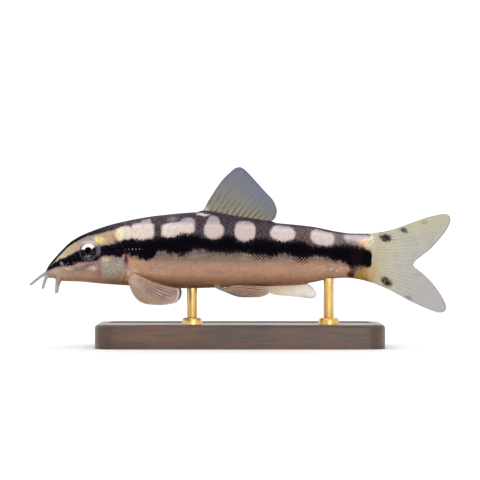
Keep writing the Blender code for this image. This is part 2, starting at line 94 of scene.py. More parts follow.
def selectFaces(piece, chosen):  # in object mode, with one true or false for each face
    activate(piece)
    editMode()
    bpy.ops.mesh.select_all(action="DESELECT")
    objectMode()
    piece.data.polygons.foreach_set("select", np.asarray(chosen, bool))
    piece.data.update()


def faceCentres(piece):
    centres = np.zeros(len(piece.data.polygons) * 3)
    piece.data.polygons.foreach_get("center", centres)
    return centres.reshape(-1, 3)


def extrude(x, y, z):
    bpy.ops.mesh.extrude_region_move(TRANSFORM_OT_translate={"value": (x, y, z)})


def turnFaces(inside=False):  # ends edit mode with all faces turned outwards, or inwards
    bpy.ops.mesh.select_all(action="SELECT")
    bpy.ops.mesh.normals_make_consistent(inside=inside)
    objectMode()


def closeUp(piece, distance):  # merges what meets at poles and seams
    activate(piece)
    editMode("VERT")
    bpy.ops.mesh.select_all(action="SELECT")
    bpy.ops.mesh.remove_doubles(threshold=distance)
    turnFaces()


def finish(piece, name, material, slot, *nodes):
    piece.name = name
    piece.data.name = name
    piece.data.materials.clear()
    piece.data.materials.append(material)
    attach(piece, "root")
    if nodes:
        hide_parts(*nodes)
    return piece


# Small helpers for curves, all in millimetres

def unit(vectors):
    length = np.linalg.norm(vectors, axis=-1, keepdims=True)
    return vectors / np.maximum(length, 1e-9)


def fade(value, low, high):  # 0 at low, 1 at high, and smooth between them
    t = np.clip((value - low) / (high - low), 0, 1)
    return t * t * (3 - 2 * t)


def hump(distance, width):
    return np.exp(-((distance / width) ** 2))


def smoothAt(table, at):  # a smooth line through a few sizes, which never swings past them
    place, value = np.array(table, float).T
    at = np.clip(at, place[0], place[-1])
    step = np.diff(place)
    slope = np.diff(value) / step
    same = slope[:-1] * slope[1:] > 0
    total = np.where(same, slope[:-1] + slope[1:], 1)
    inner = np.where(same, 2 * slope[:-1] * slope[1:] / total, 0)
    tangent = np.concatenate(([slope[0]], inner, [slope[-1]]))
    i = np.clip(np.searchsorted(place, at, side="right") - 1, 0, len(step) - 1)
    t = (at - place[i]) / step[i]
    ends = value[i] * (1 + 2 * t) * (1 - t) ** 2 + value[i + 1] * t * t * (3 - 2 * t)
    return ends + step[i] * (tangent[i] * t * (1 - t) ** 2 - tangent[i + 1] * t * t * (1 - t))


def lineThrough(points, share):  # a smooth line through a few points, read by the share of its length
    points = np.array(points, float)
    far = np.concatenate(([0], np.cumsum(np.linalg.norm(np.diff(points, axis=0), axis=1))))
    order = np.arange(len(points))
    low, high = np.maximum(order - 1, 0), np.minimum(order + 1, len(points) - 1)
    tangent = (points[high] - points[low]) / (far[high] - far[low])[:, None]
    want = np.clip(share, 0, 1) * far[-1]
    i = np.clip(np.searchsorted(far, want, side="right") - 1, 0, len(points) - 2)
    span = (far[i + 1] - far[i])[:, None]
    x = (want - far[i])[:, None] / span
    ends = points[i] * (1 + 2 * x) * (1 - x) ** 2 + points[i + 1] * x * x * (3 - 2 * x)
    return ends + span * (tangent[i] * x * (1 - x) ** 2 - tangent[i + 1] * x * x * (1 - x))


def toLine(points, line):  # how far each point is from a line, and the share along it
    best, share = np.full(len(points), 1e9), np.zeros(len(points))
    for k, (a, b) in enumerate(zip(line, line[1:])):
        t = np.clip(((points - a) @ (b - a)) / ((b - a) @ (b - a)), 0, 1)
        away = np.linalg.norm(points - a - t[:, None] * (b - a), axis=1)
        nearer = away < best
        best[nearer] = away[nearer]
        share[nearer] = (k + t[nearer]) / (len(line) - 1)
    return best, share


# The fish's plain form, counted from the snout tip along and from the body's axis up
body = {
    "middle": 28.55,  # from the snout tip to the middle of the whole length
    "axis": 14.0,  # from the floor up to the body's axis
    "back": [(0, -2.3), (0.9, -1.35), (2.1, 0), (3.8, 1.6), (6.2, 2.85), (10.9, 4.35), (17, 5.4),
             (23, 5.85), (27.1, 5.2), (33, 4.35), (38.9, 3.75), (43, 2.95), (45, 2.7), (48, 2.68)],
    "belly": [(0, -3.65), (1.3, -3.78), (2.3, -4.32), (5, -4.41), (8, -4.7), (12, -4.98), (20, -5.4),
              (32, -4.95), (38.9, -4.55), (41.8, -4.0), (44.2, -3.84), (45.8, -4.01), (48, -4.56)],
    "halfWidth": [(0, 1.0), (0.9, 1.25), (2.1, 1.6), (3.8, 2.05), (6.2, 2.55), (10.9, 3.2), (17, 3.5),
                  (22, 3.45), (27.1, 3.1), (33, 2.5), (38.9, 1.85), (44.2, 1.15), (48, 0.7)],
    "widest": [(0, -2.87), (3, -2.0), (6.5, -1.2), (14, -0.7), (26, -0.3), (48, -0.8)],
    "backRound": [(0, 2.0), (6, 1.9), (14, 2.1), (48, 2.0)],
    "bellyRound": [(0, 2.4), (8, 2.6), (22, 2.4), (48, 2.0)],
    "snoutLevel": -2.87,
    "snoutRounding": 0.8,
    "wedgeStart": 45.6,  # where the flesh starts to thin out onto the tail fin's rays
    "wedgeEnd": 48.9,
}


def section(s):  # top, bottom, half width and widest level of the body at s
    blunt = np.sqrt(np.maximum(0, 1 - np.clip(1 - s / body["snoutRounding"], 0, 1) ** 2))
    level = body["snoutLevel"]
    top = level + (smoothAt(body["back"], s) - level) * blunt
    bottom = level + (smoothAt(body["belly"], s) - level) * blunt
    widest = level + (smoothAt(body["widest"], s) - level) * blunt
    wedge = np.clip((s - body["wedgeStart"]) / (body["wedgeEnd"] - body["wedgeStart"]), 0, 1)
    half = smoothAt(body["halfWidth"], s) * blunt * (1 - wedge ** 2) ** 0.8
    return top, bottom, half, widest


def ringPoint(s, angle):  # a point of the plain surface, its angle counted from the side over the back
    top, bottom, half, widest = section(s)
    over = np.sin(angle) > 0
    power = np.where(over, smoothAt(body["backRound"], s), smoothAt(body["bellyRound"], s))
    reach = np.where(over, top - widest, widest - bottom)
    y = half * np.sign(np.cos(angle)) * np.abs(np.cos(angle)) ** (2 / power)
    z = widest + reach * np.sign(np.sin(angle)) * np.abs(np.sin(angle)) ** (2 / power)
    return np.stack([s + 0 * y, y, z], axis=-1)


def ringNormal(s, angle):
    step = 0.02
    s = np.clip(s, 0.005, body["wedgeEnd"] - step)
    along = ringPoint(s + step, angle) - ringPoint(np.maximum(s - step, 0), angle)
    around = ringPoint(s, angle + step) - ringPoint(s, angle - step)
    return unit(np.cross(around, along))


def flankPoint(s, z, lift=0.0):  # a point on the fish's right side at a height, and so far off it
    s, z = np.asarray(s, float), np.asarray(z, float)

    def out(s, z):
        top, bottom, half, widest = section(s)
        over = z > widest
        power = np.where(over, smoothAt(body["backRound"], s), smoothAt(body["bellyRound"], s))
        rise = (z - widest) / (np.where(over, top, bottom) - widest)
        return half * np.maximum(0, 1 - np.clip(rise, 0, 1) ** power) ** (1 / power)

    step = 0.1
    along = np.stack([0 * s + 2 * step, out(s + step, z) - out(s - step, z), 0 * s], -1)
    up = np.stack([0 * s, out(s, z + step) - out(s, z - step), 0 * s + 2 * step], -1)
    normal = unit(np.cross(up, along))
    return np.stack([s + 0 * z, out(s, z), z + 0 * s], -1) + normal * lift, normal


def toWorld(points):
    return (np.asarray(points) + np.array([-body["middle"], 0, body["axis"]])) * mm


# Helpers for materials, which add their nodes to the material or group that was started last

now = {"tree": None, "shader": None}


def tone(red, green, blue):  # a colour as a paint program shows it, from 0 to 255
    def linear(value):
        value /= 255
        return value / 12.92 if value <= 0.04045 else ((value + 0.055) / 1.055) ** 2.4
    return (linear(red), linear(green), linear(blue), 1.0)


def addNode(kind, inputs=None, **settings):
    made = now["tree"].nodes.new("ShaderNode" + kind)
    for name, value in settings.items():
        setattr(made, name, value)
    for name, value in (inputs or {}).items():
        if isinstance(value, bpy.types.NodeSocket):
            now["tree"].links.new(value, made.inputs[name])
        elif value is not None:
            made.inputs[name].default_value = value
    return made


def calc(operation, a, b=None, c=None):
    return addNode("Math", {0: a, 1: b, 2: c}, operation=operation).outputs[0]


def plus(a, b):
    return calc("ADD", a, b)


def minus(a, b):
    return calc("SUBTRACT", a, b)


def times(first, *others):
    for other in others:
        first = calc("MULTIPLY", first, other)
    return first


def timesPlus(a, b, c):
    return calc("MULTIPLY_ADD", a, b, c)


def larger(a, b):
    return calc("MAXIMUM", a, b)


def ease(value, low, high):  # 0 at low, 1 at high
    inputs = {"Value": value, "From Min": low, "From Max": high}
    return addNode("MapRange", inputs, interpolation_type="SMOOTHSTEP").outputs[0]


def onVector(operation, a, b=None, output="Vector"):
    return addNode("VectorMath", {0: a, 1: b}, operation=operation).outputs[output]


def stretch(place, along, across, up):
    return addNode("Mapping", {"Vector": place, "Scale": (along, across, up)}).outputs["Vector"]


def split(place):
    return addNode("SeparateXYZ", {0: place}).outputs


def join(x=0.0, y=0.0, z=0.0):
    return addNode("CombineXYZ", {0: x, 1: y, 2: z}).outputs[0]


def mixTone(share, a, b, blend="MIX"):  # between two colours, each a socket or a tone
    a, b = (tone(*paint) if isinstance(paint, tuple) else paint for paint in (a, b))
    return addNode("Mix", {0: share, 6: a, 7: b}, data_type="RGBA", blend_type=blend).outputs[2]


def noise(place, scale, detail=3, output="Fac"):
    inputs = {"Vector": place, "Scale": scale, "Detail": detail, "Roughness": 0.6}
    return addNode("TexNoise", inputs).outputs[output]


def drift(place, scale, detail):  # a vector that wanders to all sides of nothing
    return onVector("SUBTRACT", noise(place, scale, detail, "Color"), (0.5, 0.5, 0.5))


def waves(place, scale, distortion, detailScale=1.0):
    inputs = {"Vector": place, "Scale": scale, "Distortion": distortion, "Detail Scale": detailScale}
    return addNode("TexWave", inputs, bands_direction="X").outputs["Fac"]


def turned(place, angle):  # seen from the fish's side
    return addNode("VectorRotate", {"Vector": place, "Angle": angle}, rotation_type="Y_AXIS").outputs[0]


def toneRamp(share, stops):
    made = addNode("ValToRGB", {"Fac": share})
    elements = made.color_ramp.elements
    while len(elements) < len(stops):
        elements.new(0.5)
    for element, (at, paint) in zip(elements, stops):
        element.position = at
        element.color = tone(*paint)
    return made.outputs["Color"]


def fromGroup(group, inputs):
    return addNode("Group", inputs, node_tree=group).outputs[0]


def startMaterial(name, **values):  # a Principled shader with the values that are the same all over
    made = bpy.data.materials.new(name)
    made.use_nodes = True
    now["tree"], now["shader"] = made.node_tree, made.node_tree.nodes["Principled BSDF"]
    for socket, value in values.items():
        now["shader"].inputs[socket.replace("_", " ")].default_value = value
    return made


def feed(socket, value):
    now["tree"].links.new(value, now["shader"].inputs[socket])


def bump(height, depth):
    made = addNode("Bump", {"Height": height, "Distance": depth * mm, "Strength": 1.0})
    feed("Normal", made.outputs["Normal"])


def objectPlace():
    return addNode("TexCoord").outputs["Object"]


def fishPlace():  # s, the distance from the middle plane, and z, in mm on the fish
    shift = {"Vector": objectPlace(), "Location": (body["middle"], 0, -body["axis"]),
             "Scale": (1 / mm, 1 / mm, 1 / mm)}
    return addNode("Mapping", shift).outputs["Vector"]


def startGroup(name, output, **inputs):  # a node group with one value out, and what it is given
    group = bpy.data.node_groups.new(name, "ShaderNodeTree")
    now["tree"] = group
    group.interface.new_socket("Place", in_out="INPUT", socket_type="NodeSocketVector")
    for socket, value in inputs.items():
        made = group.interface.new_socket(socket.replace("_", " "), in_out="INPUT",
                                          socket_type="NodeSocketFloat")
        made.default_value = value
    group.interface.new_socket(output, in_out="OUTPUT", socket_type="NodeSocketFloat")
    return group, group.nodes.new("NodeGroupInput").outputs


def endGroup(group, value):
    group.links.new(value, group.nodes.new("NodeGroupOutput").inputs[0])
    return group


def patchGroup():  # a soft-edged oval or rounded block, seen from the side of the fish
    group, given = startGroup("soft patch", "Mask", Along=0.0, Up=0.0, Half_Length=1.0, Half_Height=1.0,
                              Square=2.0, Lean=0.0, Soft=0.2)
    place = split(given["Place"])
    along = minus(place[0], given["Along"])
    up = timesPlus(along, given["Lean"], minus(place[2], given["Up"]))
    parts = []
    for value, half in ((along, given["Half Length"]), (up, given["Half Height"])):
        share = calc("ABSOLUTE", calc("DIVIDE", value, half))
        parts.append(calc("POWER", share, given["Square"]))
    reach = calc("POWER", plus(*parts), calc("DIVIDE", 1.0, given["Square"]))
    return endGroup(group, ease(reach, plus(1.0, given["Soft"]), minus(1.0, given["Soft"])))


def sparkleGroup():  # scattered bright flecks, painted glints, each with its own strength
    group, given = startGroup("sparkle", "Mask", Scale=5.0, Share=0.2)
    inputs = {"Vector": given["Place"], "Scale": given["Scale"], "Randomness": 1.0}
    cells = addNode("TexVoronoi", inputs)
    colour = addNode("SeparateColor", {0: cells.outputs["Color"]}).outputs
    lit = calc("LESS_THAN", colour[0], given["Share"])
    dot = ease(cells.outputs["Distance"], 0.55, 0.1)
    return endGroup(group, times(lit, times(dot, colour[1])))


def wovenGroup():  # the fine crossed lines of small scales, running up and down the flank
    group, given = startGroup("woven scales", "Height", Scale=1.0)
    lines = [waves(turned(given["Place"], turn), given["Scale"], 2.6, 2.0) for turn in (0.85, -0.85)]
    return endGroup(group, times(*lines))


softPatch, sparkle, woven = patchGroup(), sparkleGroup(), wovenGroup()
print("helpers and shared patterns ready")


# Camera, floor and light
studio = {
    "distance": 400.0,  # mm from the lens to the middle plane of the fish
    "frameWidth": 70.67,  # mm of the middle plane across the picture
    "centreHeight": 15.73,
    "sensor": 36,
    "floor": (0.9, 0.9, 0.9, 1.0),
    "floorGrain": 60.0,
    "sweepSides": 96,
    "sweepRadius": 620.0,
    "sweepHeight": 520.0,
    "sweepBend": 208.0,  # the radius of the turn from floor to wall
    "bendSteps": 10,
    "world": 0.11,
    "wallGlow": 0.25,  # the wall is lit from behind, so that it is as pale as the floor near by
    "glowFrom": 300.0,
    "glowFull": 560.0,
    "lamps": {  # place and size in mm, power in watts
        "key": ((-170, -150, 400), 240, 0.204),
        "fill": ((110, -430, 90), 280, 0.475),
        "back": ((60, 330, 260), 300, 0.19),
    },
}


def makeCamera():
    camera = added(bpy.ops.object.camera_add, rotation=(math.pi / 2, 0, 0),
                   location=(0, -studio["distance"] * mm, studio["centreHeight"] * mm))
    camera.name = "camera"
    camera.data.sensor_width = studio["sensor"]
    camera.data.lens = studio["sensor"] * studio["distance"] / studio["frameWidth"]
    camera.data.clip_start = 0.01
    bpy.context.scene.camera = camera


def makeSweep():  # a plain pale floor that turns up into a wall all round
    sweep = added(bpy.ops.mesh.primitive_circle_add, vertices=studio["sweepSides"],
                  radius=studio["sweepRadius"] * mm, fill_type="NGON")
    editMode("EDGE")
    bend, steps = studio["sweepBend"], studio["bendSteps"]
    for k in range(steps):
        a, b = (math.pi / 2 * (k + n) / steps for n in (0, 1))
        out = 1 + bend * (math.sin(b) - math.sin(a)) / (studio["sweepRadius"] + bend * math.sin(a))
        extrude(0, 0, bend * (math.cos(a) - math.cos(b)) * mm)
        bpy.ops.transform.resize(value=(out, out, 1))
    extrude(0, 0, (studio["sweepHeight"] - bend) * mm)
    turnFaces(inside=True)
    bpy.ops.object.shade_smooth()
    material = startMaterial("pale floor", Roughness=0.85, Emission_Strength=1.0)
    low, high = studio["floor"], tuple(min(1.0, c * 1.015) for c in studio["floor"])
    inputs = {0: noise(objectPlace(), studio["floorGrain"]), 6: low, 7: high}
    feed("Base Color", addNode("Mix", inputs, data_type="RGBA").outputs[2])
    away = onVector("LENGTH", objectPlace(), None, "Value")
    glow = times(ease(away, studio["glowFrom"] * mm, studio["glowFull"] * mm), studio["wallGlow"])
    feed("Emission Color", join(glow, glow, glow))
    sweep.name = "sweep"
    sweep.data.materials.append(material)


def makeLights():
    for name, (place, size, power) in studio["lamps"].items():
        lamp = added(bpy.ops.object.light_add, type="AREA", location=[p * mm for p in place])
        lamp.name = name
        lamp.data.energy = power
        lamp.data.size = size * mm
        aim = Vector((0, 0, body["axis"] * mm)) - lamp.location
        lamp.rotation_euler = aim.to_track_quat("-Z", "Y").to_euler()
    world = bpy.context.scene.world or bpy.data.worlds.new("studio")
    bpy.context.scene.world = world
    world.use_nodes = True
    background = world.node_tree.nodes["Background"]
    background.inputs["Color"].default_value = (1.0, 1.0, 1.0, 1.0)
    background.inputs["Strength"].default_value = studio["world"]
    bpy.context.scene.view_settings.view_transform = "Standard"  # keeps the paints' own colours


makeCamera()
makeSweep()
makeLights()
print("camera, sweep and lights ready")


# Head forms, which the skin is shaped by, in mm
head = {
    "eyeAt": (6.36, 0.05), "eyeOpening": 1.22, "socketDepth": 0.95,
    "rimHeight": 0.12, "rimAway": 0.3, "rimWidth": 0.32, "lidHeight": 0.07, "lidWidth": 0.08,
    "lidAway": 0.06, "socketReach": 2.5,
    "coverAt": (9.95, -2.35), "coverRadius": 1.8, "coverSwell": 0.3, "coverTall": 0.9,
    "creases": [  # their lines, how deep and how wide they are
        ([(9.1, -0.6), (8.3, -1.3), (8.05, -2.35), (8.45, -3.4), (9.4, -4.1)], 0.13, 0.16),
        ([(4.6, -2.4), (6.3, -2.05), (7.5, -1.45), (8.2, -0.85)], 0.12, 0.13),
    ],
    "gillSlit": [(11.6, 0.1), (11.95, -1.0), (11.93, -2.2), (11.8, -3.4), (11.3, -4.5)],
    # the cover's swell before the slit, the dip behind it and the cut, each with its width
    "slitForm": (0.15, 0.5, 0.1, 0.45, 0.3, 0.1),
    "slitOpen": (-2.4, -1.3),  # below the first level the slit is nearly closed
    "nostrils": [{"at": (2.5, -1.8), "bore": 0.15, "tall": 0.17},
                 {"at": (3.1, -1.62), "bore": 0.18, "tall": 0.05}],
    "nostrilDeep": 0.24, "nostrilRim": 0.1,
    "lips": [{"front": 0.55, "corner": (1.72, 0.88), "levels": (-3.64, -3.95), "radius": 0.21},
             {"front": 1.32, "corner": (1.8, 0.62), "levels": (-3.86, -4.06), "radius": 0.22}],
    "mouthLine": {"front": 0.93, "corner": (1.82, 0.76), "levels": (-3.86, -4.14)},
    "mouthDeep": 0.24, "mouthWide": 0.085,
    "barbelRoots": [(0.1, 38), (0.28, 55), (1.95, 58)],  # s, and the angle down from the side
    "rootSwell": (0.16, 0.32),
}
eyeCentre, eyeLook = flankPoint(*head["eyeAt"])


def mouthPath(lip):  # half of a crescent, from the middle of the mouth to its right corner
    turn = np.linspace(0, math.pi / 2, 14)
    back = np.sin(turn) ** 2.2
    s = lip["front"] + (lip["corner"][0] - lip["front"]) * back
    z = lip["levels"][0] + (lip["levels"][1] - lip["levels"][0]) * back
    return np.stack([s, lip["corner"][1] * np.sin(turn), z], -1), 0.55 + 0.45 * np.cos(turn)


def flankLine(points, count=24):
    line = lineThrough([(s, z, 0) for s, z in points], np.linspace(0, 1, count))
    return flankPoint(line[:, 0], line[:, 1])[0]


def mouthRelief(points):
    lift = np.zeros(len(points))
    for lip in head["lips"]:
        path, swell = mouthPath(lip)
        away, share = toLine(points, path)
        radius = lip["radius"] * np.interp(share * (len(path) - 1), np.arange(len(path)), swell)
        lift = np.maximum(lift, np.sqrt(np.maximum(0, radius ** 2 - (away * 0.92) ** 2)))
    away, share = toLine(points, mouthPath(head["mouthLine"])[0])
    return lift - head["mouthDeep"] * hump(away, head["mouthWide"]) * fade(share, 1.0, 0.9)


def nostrilRelief(points):
    lift = np.zeros(len(points))
    for nostril in head["nostrils"]:
        away = np.linalg.norm(points - flankPoint(*nostril["at"])[0], axis=1)
        bore = nostril["bore"]
        lift += nostril["tall"] * hump(away - bore * 1.2, head["nostrilRim"]) * fade(points[:, 0], 9, 3)
        lift -= head["nostrilDeep"] * fade(away, bore * 1.05, bore * 0.4)
    return lift


def roundEye(points):  # how far each point is from the eye's centre, and from the line that it looks along
    rel = points - eyeCentre
    return np.linalg.norm(rel, axis=1), np.linalg.norm(np.cross(rel, eyeLook), axis=1)


def skinRelief(points):  # how far the forms of the head and of the fins' roots stand off the plain skin
    away, fromEye = roundEye(points)
    near = fade(away, 3.2, 2.2)
    outside = fromEye - head["eyeOpening"]
    lift = near * head["rimHeight"] * hump(outside - head["rimAway"], head["rimWidth"])
    lift += near * head["lidHeight"] * hump(outside - head["lidAway"], head["lidWidth"])
    coverRel = np.hypot(points[:, 0] - head["coverAt"][0],
                        (points[:, 2] - head["coverAt"][1]) * head["coverTall"])
    onSide = np.minimum(1, points[:, 1])
    lift += onSide * head["coverSwell"] * (1 - np.minimum(1, coverRel / head["coverRadius"]) ** 3) ** 2
    for line, depth, width in head["creases"]:
        away, share = toLine(points, flankLine(line))
        lift -= depth * hump(away, width) * np.sqrt(np.maximum(0, np.sin(math.pi * share)))
    away, share = toLine(points, flankLine(head["gillSlit"]))
    ends = np.sqrt(np.maximum(0, np.sin(math.pi * np.clip(share, 0.02, 0.98))))
    ahead = smoothAt([(z, s) for s, z in reversed(head["gillSlit"])], points[:, 2]) - points[:, 0]
    swell, swellWide, dip, dipWide, cut, cutWide = head["slitForm"]
    lift += ends * onSide * np.where(ahead > 0, swell * hump(away, swellWide), -dip * hump(away, dipWide))
    lift -= ends * cut * hump(away, cutWide) * (0.2 + 0.8 * fade(points[:, 2], *head["slitOpen"]))
    swell, swellWide = head["rootSwell"]
    for s, angle in head["barbelRoots"]:
        centre = ringPoint(np.array(s), np.array(-math.radians(angle)))
        lift += swell * hump(np.linalg.norm(points - centre, axis=1), swellWide)
    for line, height, width in finRoots():
        lift += height * hump(toLine(points, line)[0], width)
    return lift + mouthRelief(points) + nostrilRelief(points)


def eyeSocket(points):  # how deep the skin goes under the eye
    away, fromEye = roundEye(points)
    inside = np.clip(fromEye / head["eyeOpening"], 0, 1)
    inside[away > head["socketReach"]] = 1
    return np.outer(head["socketDepth"] * np.sqrt(1 - inside ** 6), eyeLook)


# Fins: the edges of each one, counted as the body is, and how it is rayed. A median fin's root is given
# in the middle plane, and a paired fin's root on the skin, by s and height
fins = {
    "dorsalFin": {
        "nodes": ["dorsal_fin"], "slot": "median_fin",
        "root": [(22.95, 0, 5.85), (27.1, 0, 5.2), (33.0, 0, 4.35)],
        "leading": [(24.4, 0, 8.3), (26.03, 0, 10.65)],
        "margin": [(27.85, 0, 12.36), (28.65, 0, 12.46), (29.42, 0, 11.98), (32.02, 0, 9.16),
                   (33.5, 0, 7.5), (34, 0, 6.1), (33.75, 0, 4.95)],
        "trailing": [(33.35, 0, 4.6)],
        "rays": 14, "rootThick": 0.5, "sway": 0.1, "fillet": (0.22, 0.5),
    },
    "analFin": {
        "nodes": ["anal_fin"], "slot": "median_fin",
        "root": [(31.9, 0, -4.96), (35.8, 0, -4.78), (38.1, 0, -4.6)],
        "leading": [(33.2, 0, -6.2), (35.8, 0, -6.55)],
        "margin": [(38.9, 0, -6.9), (39.55, 0, -6.7), (39.8, 0, -6.15), (39.45, 0, -5.5), (38.95, 0, -4.9)],
        "trailing": [(38.5, 0, -4.75)],
        "rays": 8, "rootThick": 0.45, "sway": 0.08, "relief": 0.45, "fillet": (0.2, 0.5),
    },
    "caudalFin": {
        "nodes": ["caudal_fin_upper", "caudal_fin_lower"], "slot": "median_fin",
        "root": [(48.0, 0, 2.7), (48.0, 0, -0.95), (48.0, 0, -4.52)],
        "leading": [(50.8, 0, 3.2), (53.5, 0, 4.14), (56.1, 0, 5.07)],
        "margin": [(58.3, 0, 5.58), (59.1, 0, 5.5), (59.55, 0, 4.95), (59.42, 0, 4.1), (58.7, 0, 2.82),
                   (56.72, 0, 0.52), (55.08, 0, -0.8), (54.3, 0, -1.45), (54.1, 0, -1.9), (54.35, 0, -2.3),
                   (55, 0, -2.8), (56.6, 0, -4.3), (58.05, 0, -6.2), (58.82, 0, -7.7), (58.88, 0, -8.45),
                   (58.45, 0, -8.9), (57.6, 0, -8.94)],
        "trailing": [(50.8, 0, -5.74), (53.5, 0, -7.2), (56.1, 0, -8.38)],
        "rays": 20, "rootThick": 0.55, "sway": 0.12, "relief": 0.7, "spread": (-0.9, 0.35),
    },
    "pectoralFin": {
        "nodes": ["pectoral_fin"], "slot": "paired_fin",
        "root": [(12.2, -4.1), (12.85, -3.05)],
        "leading": [(12.75, 3.85, -5.8), (13.7, 4.9, -7.05)],
        "margin": [(15.0, 5.6, -7.64), (17.4, 6.3, -7.66), (19.2, 6.75, -7.4), (19.65, 6.65, -7.0),
                   (19.85, 6.2, -6.1), (19.7, 5.4, -5.3)],
        "trailing": [(16.2, 4.2, -4.5)],
        "rays": 13, "rootThick": 0.45, "sway": 0.1, "fillet": (0.24, 0.45),
    },
    "pelvicFin": {
        "nodes": ["pelvic_fin"], "slot": "paired_fin",
        "root": [(24.8, -4.75), (25.9, -5.15)], "stalk": 0.4,
        "leading": [(26.6, 2.8, -5.95), (28.3, 3.4, -6.56)],
        "margin": [(30.2, 3.65, -6.66), (31.9, 3.6, -6.45), (32.7, 3.3, -6.15), (32.75, 3.05, -5.6),
                   (32.4, 2.8, -5.05)],
        "trailing": [(27.6, 1.9, -5.0), (30, 2.4, -4.95)],
        "rays": 9, "rootThick": 0.4, "sway": 0.08, "fillet": (0.18, 0.4),
    },
}
finMake = {
    "columnsPerRay": 14, "rows": 66, "sunk": 0.07, "sink": 0.55,  # the first rows lie inside the body
    "membrane": 0.07, "ray": 0.14, "rayFades": 0.6, "rayHalf": 0.13, "rayTipHalf": 0.055,
    "firstFork": 0.36, "secondFork": 0.68, "scallop": 0.05, "edgeThins": 0.35, "rootThins": 0.6,
    "waves": (9.0, 2.0),  # how the sway runs across and along the rays
}


def finRootAt(fin, share):  # the root line and the way that the skin faces there
    if len(fin["root"][0]) == 3:
        line = lineThrough(fin["root"], share)
        out = np.zeros_like(line)
        if "spread" in fin:  # the tail fin looks back and spreads from a level
            level, slant = fin["spread"]
            out[:, 0] = 1
            out[:, 2] = (line[:, 2] - level) * slant
            out = unit(out)
        else:
            out[:, 2] = 1 if line[0, 2] > 0 else -1
        return line, out
    (s0, z0), (s1, z1) = fin["root"]
    return flankPoint(s0 + (s1 - s0) * share, z0 + (z1 - z0) * share)


def finRoots():  # root lines with the height and width of the fillet that the skin raises to them
    share = np.linspace(0, 1, 12)
    return [(finRootAt(fin, share)[0], *fin["fillet"]) for fin in fins.values() if "fillet" in fin]


# The skin, one closed mesh from the snout to the tail fin's root
skin = {
    "around": 60, "tip": 8, "headStep": 0.25, "headEnd": 12.6, "bodyStep": 0.68, "tail": 10, "cuts": 2,
    # the faces are split once more round the mouth, before and below these, and so near to the rest
    "fineMouth": (2.4, -3.3), "fineEye": 1.75, "fineNostril": 0.5, "fineSlit": 0.35,
}


def ringPlaces():  # where the skin's rings stand, crowded at the tip of the snout and at the tail
    tip = [body["snoutRounding"] * (k / skin["tip"]) ** 2 for k in range(skin["tip"])]
    front = list(np.arange(body["snoutRounding"], skin["headEnd"], skin["headStep"]))
    rear = list(np.arange(skin["headEnd"], body["wedgeStart"], skin["bodyStep"]))
    wedge = body["wedgeEnd"] - body["wedgeStart"]
    end = [body["wedgeEnd"] - wedge * (1 - k / skin["tail"]) ** 1.5 for k in range(skin["tail"] + 1)]
    return tip + front + rear + end


def makeSkin():
    # A plain tube first: its length is the fish's own, and its radius is 1 mm all along
    piece = added(bpy.ops.mesh.primitive_circle_add, vertices=skin["around"], radius=mm,
                  fill_type="NOTHING", rotation=(0, math.pi / 2, 0))
    fixPlace(piece)
    editMode("EDGE")
    places = ringPlaces()
    for here, there in zip(places, places[1:]):
        extrude((there - here) * mm, 0, 0)
    bpy.ops.mesh.select_all(action="SELECT")
    bpy.ops.mesh.subdivide(number_cuts=skin["cuts"])
    objectMode()
    refineSkin(piece)
    # Then every point goes to its place on the body
    tube = readPoints(piece) / mm
    s, angle = tube[:, 0], np.arctan2(tube[:, 2], tube[:, 1])
    points, normals = ringPoint(s, angle), ringNormal(s, angle)
    right = points * [1, 0, 1] + np.abs(points) * [0, 1, 0]
    facing = normals * [1, 0, 1] + np.abs(normals) * [0, 1, 0]
    shaped = right + facing * skinRelief(right)[:, None] - eyeSocket(right)
    shaped[:, 1] = np.where(right[:, 1] < 1e-6, 0, shaped[:, 1]) * np.sign(points[:, 1] + 1e-12)
    writePoints(piece, toWorld(shaped))
    closeUp(piece, 0.0005 * mm)
    bpy.ops.object.shade_smooth()
    return piece


def refineSkin(piece):  # splits the faces round the eyes, nostrils, mouth and gill slits
    tube = faceCentres(piece) / mm
    angle = np.arctan2(tube[:, 2], tube[:, 1])
    points = ringPoint(tube[:, 0], angle)
    points[:, 1] = np.abs(points[:, 1])
    back, top = skin["fineMouth"]
    chosen = (points[:, 0] < back) & (points[:, 2] < top)
    chosen |= roundEye(points)[0] < skin["fineEye"]
    for nostril in head["nostrils"]:
        chosen |= np.linalg.norm(points - flankPoint(*nostril["at"])[0], axis=1) < skin["fineNostril"]
    chosen |= toLine(points, flankLine(head["gillSlit"]))[0] < skin["fineSlit"]
    selectFaces(piece, chosen)
    editMode()
    bpy.ops.mesh.subdivide(number_cuts=1)
    objectMode()


